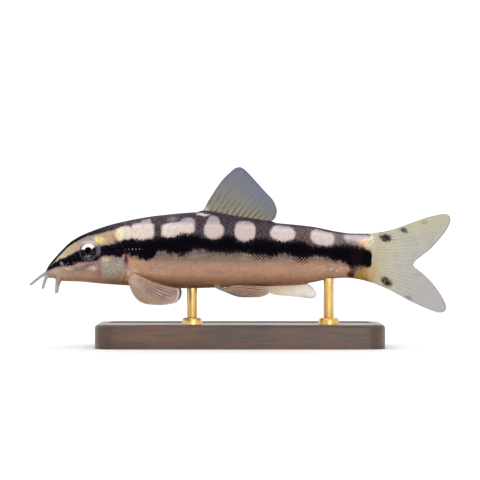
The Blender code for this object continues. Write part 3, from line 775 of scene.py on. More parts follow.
# The pattern of the skin, in millimetres on the fish
marks = {
    "stripeTop": [
        (0, -2.3), (0.74, -1.95), (1.77, -1.2), (2.8, -0.82), (3.83, -0.28), (4.87, 0.15), (6.3, 0.8),
        (7.77, 0.9), (9.42, 1.15), (10.56, 1.2), (11.07, 1.45), (11.6, 1.75), (12.6, 1.9), (14, 1.62),
        (15.3, 1.8), (16.9, 2.2), (18.4, 2.1), (19.9, 2.5), (22.2, 2.5), (23.7, 2.05), (24.7, 1.85),
        (26.7, 2.4), (28.5, 1.65), (29.3, 1.5), (31.7, 2), (33.2, 1.75), (34.7, 1.45), (37, 1.65),
        (39.2, 1), (40.7, 0.75), (41.8, 0.85), (43.6, 1.05), (45.6, 0.7), (46.9, 0.3), (48, 0),
    ],
    "stripeBottom": [
        (0, -2.95), (0.74, -2.67), (1.77, -2.26), (3.83, -2.1), (5, -1.62), (6.5, -1.5), (7.77, -1.25),
        (8.6, -0.7), (9.42, -0.72), (10.56, -0.78), (11.07, -0.92), (11.6, -0.3), (12.6, -0.48),
        (14, -0.95), (15.3, -1.3), (16.9, 0.05), (18.4, -0.18), (19.9, -0.5), (22.2, 0.3), (24.7, -0.04),
        (26.7, -0.18), (29.3, -0.2), (31.2, -0.75), (32.2, -0.95), (33.2, -0.85), (34.7, -0.3),
        (36.6, -0.9), (37.5, -1.4), (38.6, -1.1), (39.4, -0.6), (40.7, -0.77), (41.8, -1.15),
        (43.3, -1.44), (44.35, -1.7), (45, -2.35), (45.7, -2.2), (46.6, -2.1), (48, -2.3),
    ],
    "backEdge": [
        (0, -2.6), (0.9, -1.9), (2.1, -0.6), (3.8, 1), (6.2, 2.22), (8.5, 2.8), (10, 3.2),
        (10.9, 3.6), (12.5, 4.2), (14, 4.6), (17, 5.05), (23, 5.5), (27.1, 4.9), (33, 4.05),
        (38.9, 3.45), (43, 2.68), (48, 2.45),
    ],
    # above this line the pale blotches take a painted shade of lilac over their tops
    "blotchShadeLine": [(0, 3.9), (12, 4.05), (30, 3.85), (34, 3.5), (38, 3.1), (43, 2.45), (48, 2)],
    # pale ones: centre along and up, half length and height, how square, how it leans, how soft
    "blotches": [
        (11.6, 2.7, 1.3, 1.05, 2.4, -0.12, 0.22),
        (14.25, 2.95, 1.72, 1.3, 3.4, -0.06, 0.16),
        (14.8, 4.2, 0.7, 0.85, 2.6, 0, 0.16),
        (19.5, 3.3, 2.38, 1.12, 4, -0.12, 0.13),
        (20.9, 4.35, 1.05, 0.62, 2.2, -0.1, 0.3),
        (24.75, 3.1, 1.45, 1.34, 2.2, 0.05, 0.16),
        (24.6, 4.05, 1, 1.22, 2.1, 0, 0.16),
        (29.3, 3.05, 1.51, 1.52, 2.5, 0.08, 0.13),
        (34.8, 2.68, 1.8, 1.25, 2.2, 0.05, 0.15),
        (40.65, 2.12, 1.75, 1.22, 2.2, 0.14, 0.15),
        (46, 1.75, 2.1, 1, 3.2, 0.2, 0.18),
    ],
    "veil": (18.6, 4.75, 0.7, 0.4, 2, 0, 0.8),  # a faint blotch
    "hatchEverywhere": 0.04,  # how far the stripe's edges are hatched, and where they are more so
    "hatches": [(31.7, -0.7, 1.5, 0.9, 1.2, 0, 0.4), (37.7, -0.9, 1.4, 1.3, 1.2, 0, 0.4)],
    # where the bright flecks lie: the pale pores, then the painted glints of the tail and of the snout
    "pores": (13.4, 0.4, 1.5, 0.07, 2, 0, 0.35),
    "tailGlints": (41.7, -2.5, 2.8, 0.5, 2, 0, 0.35),
    "snoutGlints": (4, -1.95, 1.1, 0.4, 2, 0, 0.35),
    # the pale blotches' tones, front and rear, then a painted highlight line and the painted lilac shade on
    # their tops
    "paleFront": (225, 211, 200), "paleRear": (214, 199, 194), "paleHighlightLine": (236, 230, 226),
    "paleShadedTop": (160, 151, 169),
    # as the blotches, then the colour and how strong it is, laid on in this order
    "below": {  # under the stripe, on the face and the flank
        "underEyePink": (5.9, -1.7, 1.7, 0.18, 2.2, -0.22, 0.7, (186, 148, 130), 0.7),
        "underEyeLilac": (6.5, -1.98, 1.8, 0.22, 2.2, -0.36, 0.7, (116, 94, 106), 0.75),
        "cheekGrey": (5.2, -2.6, 0.9, 0.3, 2.2, 0.2, 0.7, (118, 104, 106), 0.65),
        # a painted highlight, pinkish white, on the cheek
        "cheekPinkHighlight": (7.1, -2.4, 0.6, 0.3, 2.2, 0, 0.7, (232, 198, 186), 0.75),
        "cheekRust": (7.9, -3.1, 0.5, 0.9, 2.2, 0, 0.8, (140, 98, 82), 0.6),
        "cheekOchre": (6.3, -3, 0.7, 0.3, 2.2, 0, 0.7, (166, 140, 90), 0.7),
        "coverEdge": (8.1, -2.3, 0.14, 1.5, 2.2, 0.12, 0.8, (140, 92, 82), 0.45),
        "snoutPale": (1.6, -3, 1.2, 0.55, 2.2, 0.3, 0.7, (188, 168, 158), 0.7),
        "snoutCream": (3.4, -2.45, 0.7, 0.14, 2.2, 0.1, 0.8, (220, 200, 160), 0.7),
        "cover": (9.95, -2.42, 1.72, 1.52, 2.1, 0.05, 0.2, (154, 145, 130), 0.92),
        "coverLip": (8.5, -1.1, 0.13, 0.4, 2.2, 0, 0.7, (226, 200, 192), 0.75),
        # painted shade over the top of the gill cover
        "coverTopShade": (10.1, -1.35, 1.1, 0.45, 2, 0.1, 0.7, (126, 114, 104), 0.6),
        "coverTop": (9.1, -1.12, 0.5, 0.2, 2.2, 0, 0.7, (226, 212, 156), 0.8),
        "slitPink": (12.35, -1.6, 0.4, 1.3, 2.2, 0.1, 0.7, (184, 132, 126), 0.7),
        # a whitish-pink painted highlight on the pinkish fold behind the gill cover
        "foldHighlight": (12.15, -3, 0.3, 0.5, 2, 0.3, 0.7, (220, 196, 190), 0.75),
        "shoulderGold": (13.1, -2.6, 0.4, 0.26, 2, 0.5, 0.7, (232, 190, 128), 0.7),
        "tailOchre": (46.4, -3.3, 1.2, 0.95, 2.4, 0.25, 0.5, (156, 126, 48), 0.95),
        "tailPink": (48, -3, 0.85, 0.9, 2.2, 0.3, 0.6, (204, 164, 122), 0.8),
        "tailSpot": (44.8, -3.4, 0.6, 0.5, 2.2, 0, 0.6, (50, 30, 22), 0.95),
        "tailLink": (45.1, -2.65, 0.34, 0.6, 2.2, 0, 0.8, (58, 38, 32), 0.8),
    },
    "above": {  # over the stripe, on the pale blotches
        "snoutOchre": (3.5, 0.15, 1.1, 0.4, 2, -0.85, 0.7, (192, 166, 104), 0.65),
        "browLilac": (6.5, 1.8, 1.6, 0.6, 2.2, -0.3, 0.5, (142, 124, 138), 0.8),
        "napeTan": (9.6, 2.15, 1.05, 0.85, 2.4, -0.2, 0.5, (186, 142, 102), 0.9),
        "napeCream": (10.9, 2.7, 0.7, 0.75, 2.2, 0.2, 0.6, (236, 226, 182), 0.8),
        "browGold": (7.95, 1.78, 0.8, 0.42, 2.2, 0.15, 0.6, (244, 230, 112), 0.95),
        "tailLilac": (45.1, 1.95, 1.15, 0.5, 2.2, 0.15, 0.6, (186, 168, 192), 0.7),
        "tailMauve": (45.7, 1.05, 1.3, 0.42, 2.2, 0.3, 0.9, (112, 80, 92), 0.7),
        "tailOrange": (47, 1.05, 1.2, 0.75, 2.2, 0.3, 0.7, (232, 192, 142), 0.9),
    },
    "over": {  # on the stripe and its edges
        "slitRed": (11.92, -0.95, 0.24, 0.75, 2.2, 0.18, 0.75, (92, 26, 46), 0.9),
        "dorsalFoot": (23.1, 5.5, 0.85, 0.2, 2, 0.1, 0.6, (226, 214, 204), 0.9),
        "nostrilFlap": (2.42, -1.78, 0.26, 0.18, 2, 0.6, 0.6, (176, 168, 176), 0.8),
        "eyeBack": (7.85, 0.3, 0.3, 0.8, 2.2, -0.3, 0.7, (116, 100, 120), 0.75),
    },
    "sharp": {  # on the eye's surround, its edges unbroken
        "eyeRing": (6.36, 0.05, 1.34, 1.34, 2, 0, 0.04, (92, 80, 88), 0.8),
        # a painted highlight over the top of the eye's surround
        "eyeTopHighlight": (6.36, 1.3, 0.85, 0.3, 2.2, 0, 0.7, (206, 196, 198), 0.85),
    },
    "single": {  # with places of their own in the order
        "barGrey": (43.1, 2.2, 0.95, 1.3, 2.6, 0, 0.4, (124, 112, 112), 0.65),
        "midGrey": (27, 3.2, 4.4, 2.4, 2.2, 0, 0.5, (184, 168, 172), 0.4),
        "stripeDusk": (45.7, -0.75, 0.9, 1.3, 2.2, 0, 0.8, (28, 17, 24), 0.7),
        "rootStreaks": (47.7, 1.75, 1.1, 0.55, 2.2, -0.3, 0.6, (248, 234, 222), 0.85),
        "endBlock": (47.28, -1.12, 0.64, 1.2, 4, 0, 0.16, (5, 4, 8), 1),
    },
    # the flank's tones from the underside up to the stripe; the darker brown at the underside is partly
    # painted shade
    "flank": [
        (0, (150, 106, 76)), (0.16, (176, 130, 98)), (0.32, (192, 150, 120)), (0.5, (188, 150, 121)),
        (0.7, (168, 136, 113)), (0.86, (132, 109, 93)), (1, (104, 89, 82)),
    ],
    "tailRootReach": (-4.5, 2.7),
    "tailRoot": [
        (0, (170, 154, 106)), (0.22, (188, 164, 120)), (0.42, (176, 168, 144)),
        (0.66, (184, 174, 148)), (1, (186, 184, 168)),
    ],
    "face": [
        (0, (150, 110, 76)), (0.2, (170, 134, 108)), (0.45, (160, 134, 120)), (0.75, (156, 130, 120)),
        (1, (160, 138, 130)),
    ],
}


def edgeLine(s, points):  # reads a drawn line of heights along the fish
    low, high, length = -6.0, 6.0, 50.0  # what the curve's square stands for, in mm
    made = addNode("FloatCurve", {"Value": calc("DIVIDE", s, length)})
    curve = made.mapping.curves[0]
    for k, (at, z) in enumerate(points):
        share = (at / length, (z - low) / (high - low))
        if k < 2:
            curve.points[k].location = share
        else:
            curve.points.new(*share)
    made.mapping.update()
    return timesPlus(made.outputs[0], high - low, low)


def rootTone(height):  # the tail fin's root, the same on the skin and on the fin
    return toneRamp(ease(height, *marks["tailRootReach"]), marks["tailRoot"])


def patchMask(place, values):
    names = ("Along", "Up", "Half Length", "Half Height", "Square", "Lean", "Soft")
    return fromGroup(softPatch, {"Place": place, **dict(zip(names, values))})


def addPatch(colour, place, values, gate=1.0):
    *shape, paint, strength = values
    mask = times(patchMask(place, shape), strength, gate)
    return mixTone(mask, colour, paint), mask


def skinMaterial():
    material = startMaterial("loach skin", Specular_IOR_Level=0.02, Coat_Roughness=0.2,
                             Subsurface_Weight=0.06, Subsurface_Radius=(1.0, 0.5, 0.35),
                             Subsurface_Scale=0.4 * mm)
    place = fishPlace()
    # The pattern's edges are broken up by a coarse and a fine noise
    wobble = place
    for scale, size in ((0.8, 0.4), (3.0, 0.3)):
        away = addNode("VectorMath", {0: drift(place, scale, 3), "Scale": size}, operation="SCALE")
        wobble = onVector("ADD", wobble, away.outputs[0])
    at = split(wobble)
    s, z = at[0], at[2]
    true = split(place)
    stripeTop, stripeBottom = edgeLine(s, marks["stripeTop"]), edgeLine(s, marks["stripeBottom"])
    backEdge = edgeLine(s, marks["backEdge"])
    hatch = fromGroup(woven, {"Place": place, "Scale": 0.9})
    grain = noise(place, 4.0, 3)
    streaks = noise(stretch(place, 2.3, 1.0, 1.0), 1.0, 3)
    finer = noise(stretch(place, 4.0, 1.0, 2.9), 1.0, 2)
    mottle = noise(place, 1.6, 4)
    onTrunk = ease(true[0], 8.0, 13.0)
    broken = timesPlus(ease(noise(place, 2.6, 3), 0.38, 0.56), 0.5, 0.5)

    # Below the stripe: the flank from greyish brown down to the darker underside, partly brown skin and
    # partly painted shade, and the face
    level = timesPlus(ease(s, 17.0, 13.0), -0.6, z)
    flank = toneRamp(ease(level, -5.5, 0.2), marks["flank"])
    pinker = times(ease(noise(place, 0.16, 2), 0.4, 0.6), ease(z, -1.0, -2.2))
    flank = mixTone(times(pinker, 0.35), flank, (188, 138, 122))
    longer = noise(stretch(wobble, 0.22, 1.0, 1.1), 1.0, 3)
    flank = mixTone(times(ease(longer, 0.52, 0.66), 0.4), flank, (152, 128, 126))
    flank = mixTone(times(ease(longer, 0.46, 0.34), 0.45), flank, (196, 160, 112))
    face = toneRamp(ease(z, -4.8, -0.6), marks["face"])
    colour = mixTone(ease(s, 13.0, 11.4), flank, face)
    for key, values in marks["below"].items():
        gate = 1.0 if key in ("cover", "tailSpot", "tailLink") else broken
        colour, mask = addPatch(colour, wobble, values, gate)
        if key == "cover":
            cover = mask

    # Above it: the net of the back and the bars, the pale strip of the head, then the pale blotches
    blots = ease(noise(place, 2.0, 3), 0.36, 0.62)
    stipple = ease(noise(place, 3.4, 2), 0.38, 0.62)
    net = times(ease(hatch, 0.05, 0.6), timesPlus(blots, 0.7, 0.3))
    net = addNode("Mix", {0: ease(s, 19.0, 25.0), 2: times(blots, 0.6), 3: net}).outputs[0]
    net = timesPlus(stipple, 0.4, times(net, 0.5))
    dark = mixTone(ease(s, 30.0, 38.0), (30, 21, 29), (66, 54, 58))
    dark = mixTone(net, dark, mixTone(ease(s, 30.0, 40.0), (100, 82, 90), (140, 114, 119)))
    strip = mixTone(ease(s, 1.0, 5.0), (210, 194, 172), (176, 156, 143))
    upper = mixTone(ease(s, 10.6, 9.6), dark, strip)
    upper, _ = addPatch(upper, wobble, marks["single"]["barGrey"])
    pale = times(patchMask(wobble, marks["veil"]), times(grain, 0.8))
    for values in marks["blotches"]:
        pale = larger(pale, patchMask(wobble, values))
    # The blotches' tops get a painted shade of lilac, with a thin painted highlight just under where it
    # starts
    high = minus(z, edgeLine(s, marks["blotchShadeLine"]))
    cream = mixTone(ease(s, 16.0, 26.0), marks["paleFront"], marks["paleRear"])
    cream = mixTone(times(ease(high, -0.6, -0.1), 0.6), cream, marks["paleHighlightLine"])
    cream = mixTone(ease(high, -0.4, 0.5), cream, marks["paleShadedTop"])
    cream = mixTone(times(ease(mottle, 0.58, 0.36), 0.55), cream, (186, 166, 164))
    cream, _ = addPatch(cream, wobble, marks["single"]["midGrey"])
    upper = mixTone(pale, upper, cream)
    for values in marks["above"].values():
        upper, _ = addPatch(upper, wobble, values, broken)
    above = ease(minus(z, backEdge), -0.16, 0.16)
    back = mixTone(ease(s, 6.0, 18.0), (10, 7, 14), (42, 34, 45))
    back = mixTone(times(net, ease(s, 4.0, 12.0)), back, (104, 94, 106))
    above = times(above, ease(s, 47.6, 46.0))
    upper = mixTone(above, upper, back)
    middle = times(plus(stripeTop, stripeBottom), 0.5)
    colour = mixTone(ease(minus(z, middle), -0.1, 0.1), colour, upper)

    # The stripe, its edges fringed along the crossed lines of the scales
    hatched = marks["hatchEverywhere"]
    for values in marks["hatches"]:
        hatched = larger(hatched, patchMask(place, values))
    hatched = times(hatched, timesPlus(blots, 0.9, 1.4))
    fringe = times(minus(hatch, 0.3), hatched)
    ragged = timesPlus(onTrunk, 0.7, 0.35)
    fringe = timesPlus(minus(streaks, 0.5), ragged, fringe)
    fringe = timesPlus(minus(finer, 0.5), ragged, fringe)
    under = plus(minus(stripeTop, z), fringe)
    over = plus(minus(z, stripeBottom), fringe)
    inside = calc("MINIMUM", under, over)
    stripe = ease(inside, -0.16, 0.2)
    dusk = times(ease(inside, -0.55, 0.05), times(onTrunk, 0.45))
    late = times(ease(s, 42.5, 44.8), ease(s, 47.4, 46.4))
    late = times(ease(inside, -0.9, 0.1), late)
    dusk = larger(dusk, times(late, 0.85))
    colour = mixTone(dusk, colour, (112, 88, 92), "MULTIPLY")
    faded = times(ease(grain, 0.52, 0.75), ease(true[0], 16.0, 7.0))
    jet = mixTone(ease(inside, 0.1, 0.7), (24, 15, 26), (4, 3, 9))
    jet = mixTone(times(faded, 0.6), jet, (74, 54, 68))
    colour = mixTone(stripe, colour, jet)
    for values in marks["over"].values():
        colour, _ = addPatch(colour, wobble, values)
    for values in marks["sharp"].values():
        colour, _ = addPatch(colour, place, values)
    colour, _ = addPatch(colour, wobble, marks["single"]["stripeDusk"], broken)
    colour = mixTone(times(ease(mottle, 0.35, 0.75), 0.3), colour, (206, 178, 160), "MULTIPLY")
    colour = mixTone(times(ease(grain, 0.6, 0.35), 0.16), colour, (120, 104, 98), "MULTIPLY")

    # The tail fin's root, with pale streaks over it, and the black block before it
    colour = mixTone(ease(s, 47.3, 48.1), colour, rootTone(true[2]))
    slanted = ease(noise(stretch(turned(place, 0.6), 0.8, 1.0, 5.0), 0.9, 2), 0.46, 0.56)
    colour, _ = addPatch(colour, place, marks["single"]["rootStreaks"], slanted)
    colour, _ = addPatch(colour, wobble, marks["single"]["endBlock"])

    # Bright flecks: painted glints on the gill cover, the tail and the snout, and the lateral line's first
    # pores, which are pale
    def glitter(place, scale, share):
        return fromGroup(sparkle, {"Place": place, "Scale": scale, "Share": share})

    pores = times(ease(waves(join(true[0]), 0.6, 2.0), 0.78, 0.98), ease(grain, 0.42, 0.6))
    flecks = times(cover, glitter(place, 6.6, 0.5))
    for source, oval in ((times(pores, 0.7), marks["pores"]),
                         (glitter(stretch(wobble, 0.5, 1.0, 1.2), 2.6, 0.8), marks["tailGlints"]),
                         (glitter(place, 4.0, 0.4), marks["snoutGlints"])):
        flecks = larger(flecks, times(patchMask(place, oval), source))
    colour = mixTone(flecks, colour, (236, 228, 212))
    feed("Base Color", colour)
    feed("Metallic", times(flecks, 0.4))
    feed("Roughness", timesPlus(stripe, 0.12, timesPlus(mottle, 0.2, 0.34)))
    feed("Coat Weight", timesPlus(larger(stripe, above), -0.34, 0.34))
    cells = addNode("TexVoronoi", {"Vector": place, "Scale": 3.6, "Randomness": 0.85}).outputs["Distance"]
    scaly = times(cells, onTrunk, 0.5)
    bump(plus(timesPlus(mottle, 1.2, scaly), times(grain, 0.35)), 0.022)
    return material


finish(makeSkin(), "skin", skinMaterial(), "skin", "head", "torso", "tail_stem")


# Eyes: a dome with the pupil and the iris, glossy as if wet
eye = {
    "radius": 1.29, "front": 0.44, "back": 0.6, "sunk": 0.18, "pupil": 0.52, "pupilUp": 0.1,
    "crescentFoot": 0.2, "crescentFar": 1.16, "iris": 1.2, "segments": 72, "rings": 48,
}


def eyeMaterial():
    material = startMaterial("loach eye", Roughness=0.3, Coat_Weight=0.05, Coat_Roughness=0.03,
                             Specular_IOR_Level=0.0)
    place = split(fishPlace())
    mirrored = join(place[0], calc("ABSOLUTE", place[1]), place[2])
    rel = onVector("SUBTRACT", mirrored, tuple(eyeCentre))
    pupilRel = onVector("SUBTRACT", rel, (0.0, 0.0, eye["pupilUp"]))
    outer, inner = (onVector("LENGTH", onVector("CROSS_PRODUCT", vector, tuple(eyeLook)), None, "Value")
                    for vector in (rel, pupilRel))
    fibre = noise(mirrored, 5.0, 4)
    up = split(pupilRel)
    iris = mixTone(ease(up[0], -0.2, 0.5), (7, 11, 15), (22, 18, 30))
    iris = mixTone(times(ease(fibre, 0.4, 0.7), 0.5), iris, (58, 50, 62))
    # The lower iris is veiled by greyish flecks
    low = timesPlus(calc("ABSOLUTE", up[0]), 0.45, up[2])
    flecked = times(ease(low, -0.35, -0.65), ease(noise(mirrored, 2.6, 2), 0.4, 0.55))
    iris = mixTone(times(flecked, 0.8), iris, (122, 112, 120))
    # A crescent of pale gold, partly the iris's own colour and partly a painted highlight, lies over the
    # pupil, and ends higher behind it than before it
    rise = times(larger(minus(up[0], 0.42), 0.0), 0.8)
    wavy = timesPlus(minus(fibre, 0.5), 0.2, minus(up[2], rise))
    crescent = ease(wavy, eye["crescentFoot"] - 0.06, eye["crescentFoot"] + 0.06)
    crescent = times(crescent, ease(outer, eye["crescentFar"] + 0.04, eye["crescentFar"] - 0.05))
    gold = mixTone(ease(up[0], -0.9, -0.1), (242, 238, 212), (252, 252, 246))
    gold = mixTone(times(ease(fibre, 0.55, 0.4), 0.5), gold, (222, 210, 170))
    iris = mixTone(crescent, iris, gold)
    beyond = mixTone(ease(outer, eye["iris"], eye["iris"] + 0.03), (30, 20, 28), (138, 128, 134))
    # the band round the iris is paler at its top: painted highlight
    beyond = mixTone(ease(up[2], 0.3, 0.75), beyond, (222, 214, 204))
    iris = mixTone(ease(outer, eye["crescentFar"], eye["iris"] - 0.02), iris, beyond)
    ring = times(ease(inner, eye["pupil"] + 0.12, eye["pupil"] + 0.05), 0.22)
    iris = mixTone(ring, iris, (110, 112, 112))
    pupil = ease(inner, eye["pupil"] + 0.04, eye["pupil"] - 0.02)
    feed("Base Color", mixTone(pupil, iris, (2, 2, 4)))
    bump(times(fibre, minus(1.0, pupil)), 0.02)
    return material


def makeEye(side, material):
    piece = added(bpy.ops.mesh.primitive_uv_sphere_add, segments=eye["segments"], ring_count=eye["rings"],
                  radius=1)
    ball = readPoints(piece)
    depth = np.where(ball[:, 2] > 0, eye["front"], eye["back"])
    shaped = np.stack([ball[:, 0] * eye["radius"], ball[:, 1] * eye["radius"], ball[:, 2] * depth], -1)
    writePoints(piece, shaped * mm)
    centre, look = flankPoint(*head["eyeAt"], -eye["sunk"])
    flip = np.array([1, sides[side], 1])
    piece.rotation_euler = Vector(look * flip).to_track_quat("Z", "Y").to_euler()
    piece.location = toWorld(centre * flip)
    fixPlace(piece)
    bpy.ops.object.shade_smooth()
    finish(piece, "eye_" + side + "_ball", material, "eye", "eye_" + side)


eyePaint = eyeMaterial()
for side in sides:
    makeEye(side, eyePaint)
print("eyes ready")


# Barbels
barbels = {
    "rostralUpper": {"node": "barbel_rostral_upper", "root": head["barbelRoots"][0],
                     "tip": (-2.43, 0.95, -4.95), "radii": (0.25, 0.155), "flare": 1.4},
    "rostralLower": {"node": "barbel_rostral_lower", "root": head["barbelRoots"][1],
                     "tip": (-0.54, 1.1, -5.5), "radii": (0.23, 0.14), "flare": 1.4},
    "maxillary": {"node": "barbel_maxillary", "root": head["barbelRoots"][2],
                  "tip": (1.5, 1.5, -6.15), "radii": (0.38, 0.13), "flare": 2.1},
}
barbelMake = {"stiffness": 0.3, "sink": 0.35, "flareLength": 0.45, "points": 12, "rounding": 0.12,
              "bevel": 6, "steps": 8}


def barbelMaterial():
    material = startMaterial("barbel skin", Coat_Weight=0.3, Coat_Roughness=0.2, Subsurface_Weight=0.35,
                             Subsurface_Radius=(1.0, 0.7, 0.6), Subsurface_Scale=0.4 * mm)
    place = fishPlace()
    at = split(place)
    # The rear pair is flesh-coloured down to its middle, the front pairs only at their roots
    level = timesPlus(ease(at[0], 0.4, 1.2), 1.8, at[2])
    down = ease(level, -2.4, -3.6)
    colour = mixTone(down, (156, 125, 108), (172, 169, 167))
    spots = ease(noise(place, 6.0, 3), 0.5, 0.7)
    colour = mixTone(times(spots, 0.5), colour, (150, 134, 128))
    feed("Base Color", colour)
    feed("Roughness", timesPlus(spots, 0.15, 0.32))
    feed("Alpha", timesPlus(down, -0.22, 1.0))
    bump(noise(place, 9.0, 3), 0.03)
    return material


def makeBarbel(name, side, material):
    barbel = barbels[name]
    flip = np.array([1, sides[side], 1])
    s, angle = np.array(barbel["root"][0]), np.array(-math.radians(barbel["root"][1]))
    surface, normal = ringPoint(s, angle), ringNormal(s, angle)
    root, tip = surface - normal * barbelMake["sink"], np.array(barbel["tip"])
    first = surface + normal * np.linalg.norm(tip - surface) * barbelMake["stiffness"]
    second = tip + (surface - tip) * barbelMake["stiffness"]
    piece = added(bpy.ops.curve.primitive_bezier_curve_add, location=(0, 0, 0))
    ends = piece.data.splines[0].bezier_points
    places = [Vector(toWorld(p * flip)) for p in (root, first, second, tip)]
    for end, point in enumerate(ends):
        point.handle_left_type = point.handle_right_type = "FREE"
        co, inner = places[3 * end], places[1 + end]
        point.co = co
        outer = co * 2 - inner
        point.handle_left, point.handle_right = (inner, outer) if end else (outer, inner)
    bpy.ops.object.mode_set(mode="EDIT")
    bpy.ops.curve.select_all(action="SELECT")
    bpy.ops.curve.subdivide(number_cuts=barbelMake["points"])
    objectMode()
    wide, narrow = barbel["radii"]
    chain = piece.data.splines[0].bezier_points
    for k, point in enumerate(chain):
        share = k / (len(chain) - 1)
        near = max(0, 1 - share / barbelMake["flareLength"])
        flare = 1 + (barbel["flare"] - 1) * near ** 2
        end = math.sqrt(max(0.02, 1 - max(0, 1 - (1 - share) / barbelMake["rounding"]) ** 2))
        point.radius = (wide + (narrow - wide) * share) * flare * end
    piece.data.bevel_depth = mm
    piece.data.bevel_resolution = barbelMake["bevel"]
    piece.data.resolution_u = barbelMake["steps"]
    piece.data.use_fill_caps = True
    activate(piece)
    bpy.ops.object.convert(target="MESH")
    piece = bpy.context.object
    closeUp(piece, 0.001 * mm)
    bpy.ops.object.shade_smooth()
    finish(piece, name + "_" + side, material, "barbel_skin", barbel["node"] + "_" + side)


barbelPaint = barbelMaterial()
for name in barbels:
    for side in sides:
        makeBarbel(name, side, barbelPaint)
print("barbels ready")


# Fins: one thin sheet each, thicker along its forked rays

def finEdge(fin, share, end, key):  # the leading edge is end 0, the trailing edge is end -1
    root, out = (ends[end] for ends in finRootAt(fin, np.array([0.0, 1.0])))
    stalk = [tuple(root + out * fin["stalk"])] if "stalk" in fin else []
    return lineThrough([tuple(root), *stalk, *fin[key], fin["margin"][end]], share)


def finSheet(fin, across, outward):  # the middle plane of a fin, filled in between its four edges
    u, v = across[:, None], np.clip(outward, 0, 1)[:, None]
    root, out = finRootAt(fin, across)
    margin = lineThrough(fin["margin"], across)
    leading, trailing = finEdge(fin, outward, 0, "leading"), finEdge(fin, outward, -1, "trailing")
    edges = root * (1 - v) + margin * v + leading * (1 - u) + trailing * u
    corners = finRootAt(fin, np.array([0.0, 1.0]))[0]
    near = corners[0] * (1 - u) + corners[1] * u
    far = np.array(fin["margin"][0]) * (1 - u) + np.array(fin["margin"][-1]) * u
    inside = np.clip(-outward / finMake["sunk"], 0, 1)[:, None]
    return edges - near * (1 - v) - far * v - out * inside * finMake["sink"]


def rayShape(fin, across, outward, width):  # how near each point is to a ray or its branches
    cell = across * (fin["rays"] - 1)
    nearest = np.round(cell)
    off = np.abs(cell - nearest)
    # The first rays don't fork, and nor does the last one of the tail fin
    whole = (nearest < 2) | (nearest > fin["rays"] - 2) & ("spread" in fin)
    first = 0.25 * fade(outward, finMake["firstFork"], 1.0) * ~whole
    second = 0.125 * fade(outward, finMake["secondFork"], 1.05) * ~whole
    off = np.abs(np.abs(off - first) - second)
    half = finMake["rayHalf"] + (finMake["rayTipHalf"] - finMake["rayHalf"]) * np.clip(outward, 0, 1)
    return np.clip(1 - (off * width / half) ** 2, 0, 1)


def makeFin(name, side, material):
    fin = fins[name]
    columns = (fin["rays"] - 1) * finMake["columnsPerRay"]
    piece = added(bpy.ops.mesh.primitive_grid_add, x_subdivisions=columns,
                  y_subdivisions=finMake["rows"], size=2)
    grid = readPoints(piece)
    across, rise = (grid[:, 0] + 1) / 2, (grid[:, 1] + 1) / 2
    outward = rise * (1 + finMake["sunk"]) - finMake["sunk"]
    sheet = finSheet(fin, across, outward)
    step = 0.01
    before, after = (np.clip(across + way, 0, 1) for way in (-step, step))
    inner, outer = (np.clip(outward + way, 0, 1) for way in (-step, step))
    beside = finSheet(fin, after, outward) - finSheet(fin, before, outward)
    beyond = finSheet(fin, across, outer) - finSheet(fin, across, inner)
    width = np.linalg.norm(beside, axis=1) / (after - before) / (fin["rays"] - 1)
    facing = unit(np.cross(beside, beyond))
    ray = rayShape(fin, across, outward, width)
    v = np.clip(outward, 0, 1)
    wavesAcross, wavesAlong = finMake["waves"]
    sway = np.sin(across * wavesAcross + v * wavesAlong) * fade(v, 0.15, 1.0) * fin["sway"]
    midst = np.sin(math.pi * np.clip(across, 0.02, 0.98)) ** 0.3
    scallop = finMake["scallop"] * (1 - ray) * fade(v, 0.9, 1.0) * midst
    sheet = sheet + facing * sway[:, None] - unit(beyond) * scallop[:, None]
    writePoints(piece, toWorld(sheet * [1, sides[side], 1]))
    rooted = (1 - fade(v, -0.02, 0.22)) ** 2
    membrane = finMake["membrane"] + (fin["rootThick"] - finMake["membrane"]) * rooted
    relief = finMake["ray"] * fin.get("relief", 1)
    thick = membrane + relief * ray * (1 - finMake["rayFades"] * v) * fade(v, 0.0, 0.16)
    thick *= 1 - finMake["edgeThins"] * fade(v, 0.9, 1.0)
    ends = np.sin(math.pi * np.clip(across, 0, 1)) ** 0.5  # the root thins towards its two ends
    thick *= 1 - (1 - fade(v, 0, 0.12)) * (1 - ends) * finMake["rootThins"]
    most = float(thick.max())
    group = piece.vertex_groups.new(name="thickness")
    for k, share in enumerate(thick / most):
        group.add([k], float(share), "REPLACE")
    for key, values in (("ray", ray), ("outward", v), ("across", across)):
        attribute = piece.data.attributes.new(key, "FLOAT", "POINT")
        attribute.data.foreach_set("value", values.astype(np.float32))
    solid = piece.modifiers.new("thickness", "SOLIDIFY")
    solid.thickness = most * mm
    solid.offset = 0
    solid.vertex_group = group.name
    solid.use_rim = True
    applyAll(piece)
    piece.vertex_groups.clear()
    editMode()
    turnFaces()
    bpy.ops.object.shade_smooth()
    paired = fin["slot"] == "paired_fin"
    nodes = [node + "_" + side if paired else node for node in fin["nodes"]]
    finish(piece, name + "_" + side if paired else name, material, fin["slot"], *nodes)


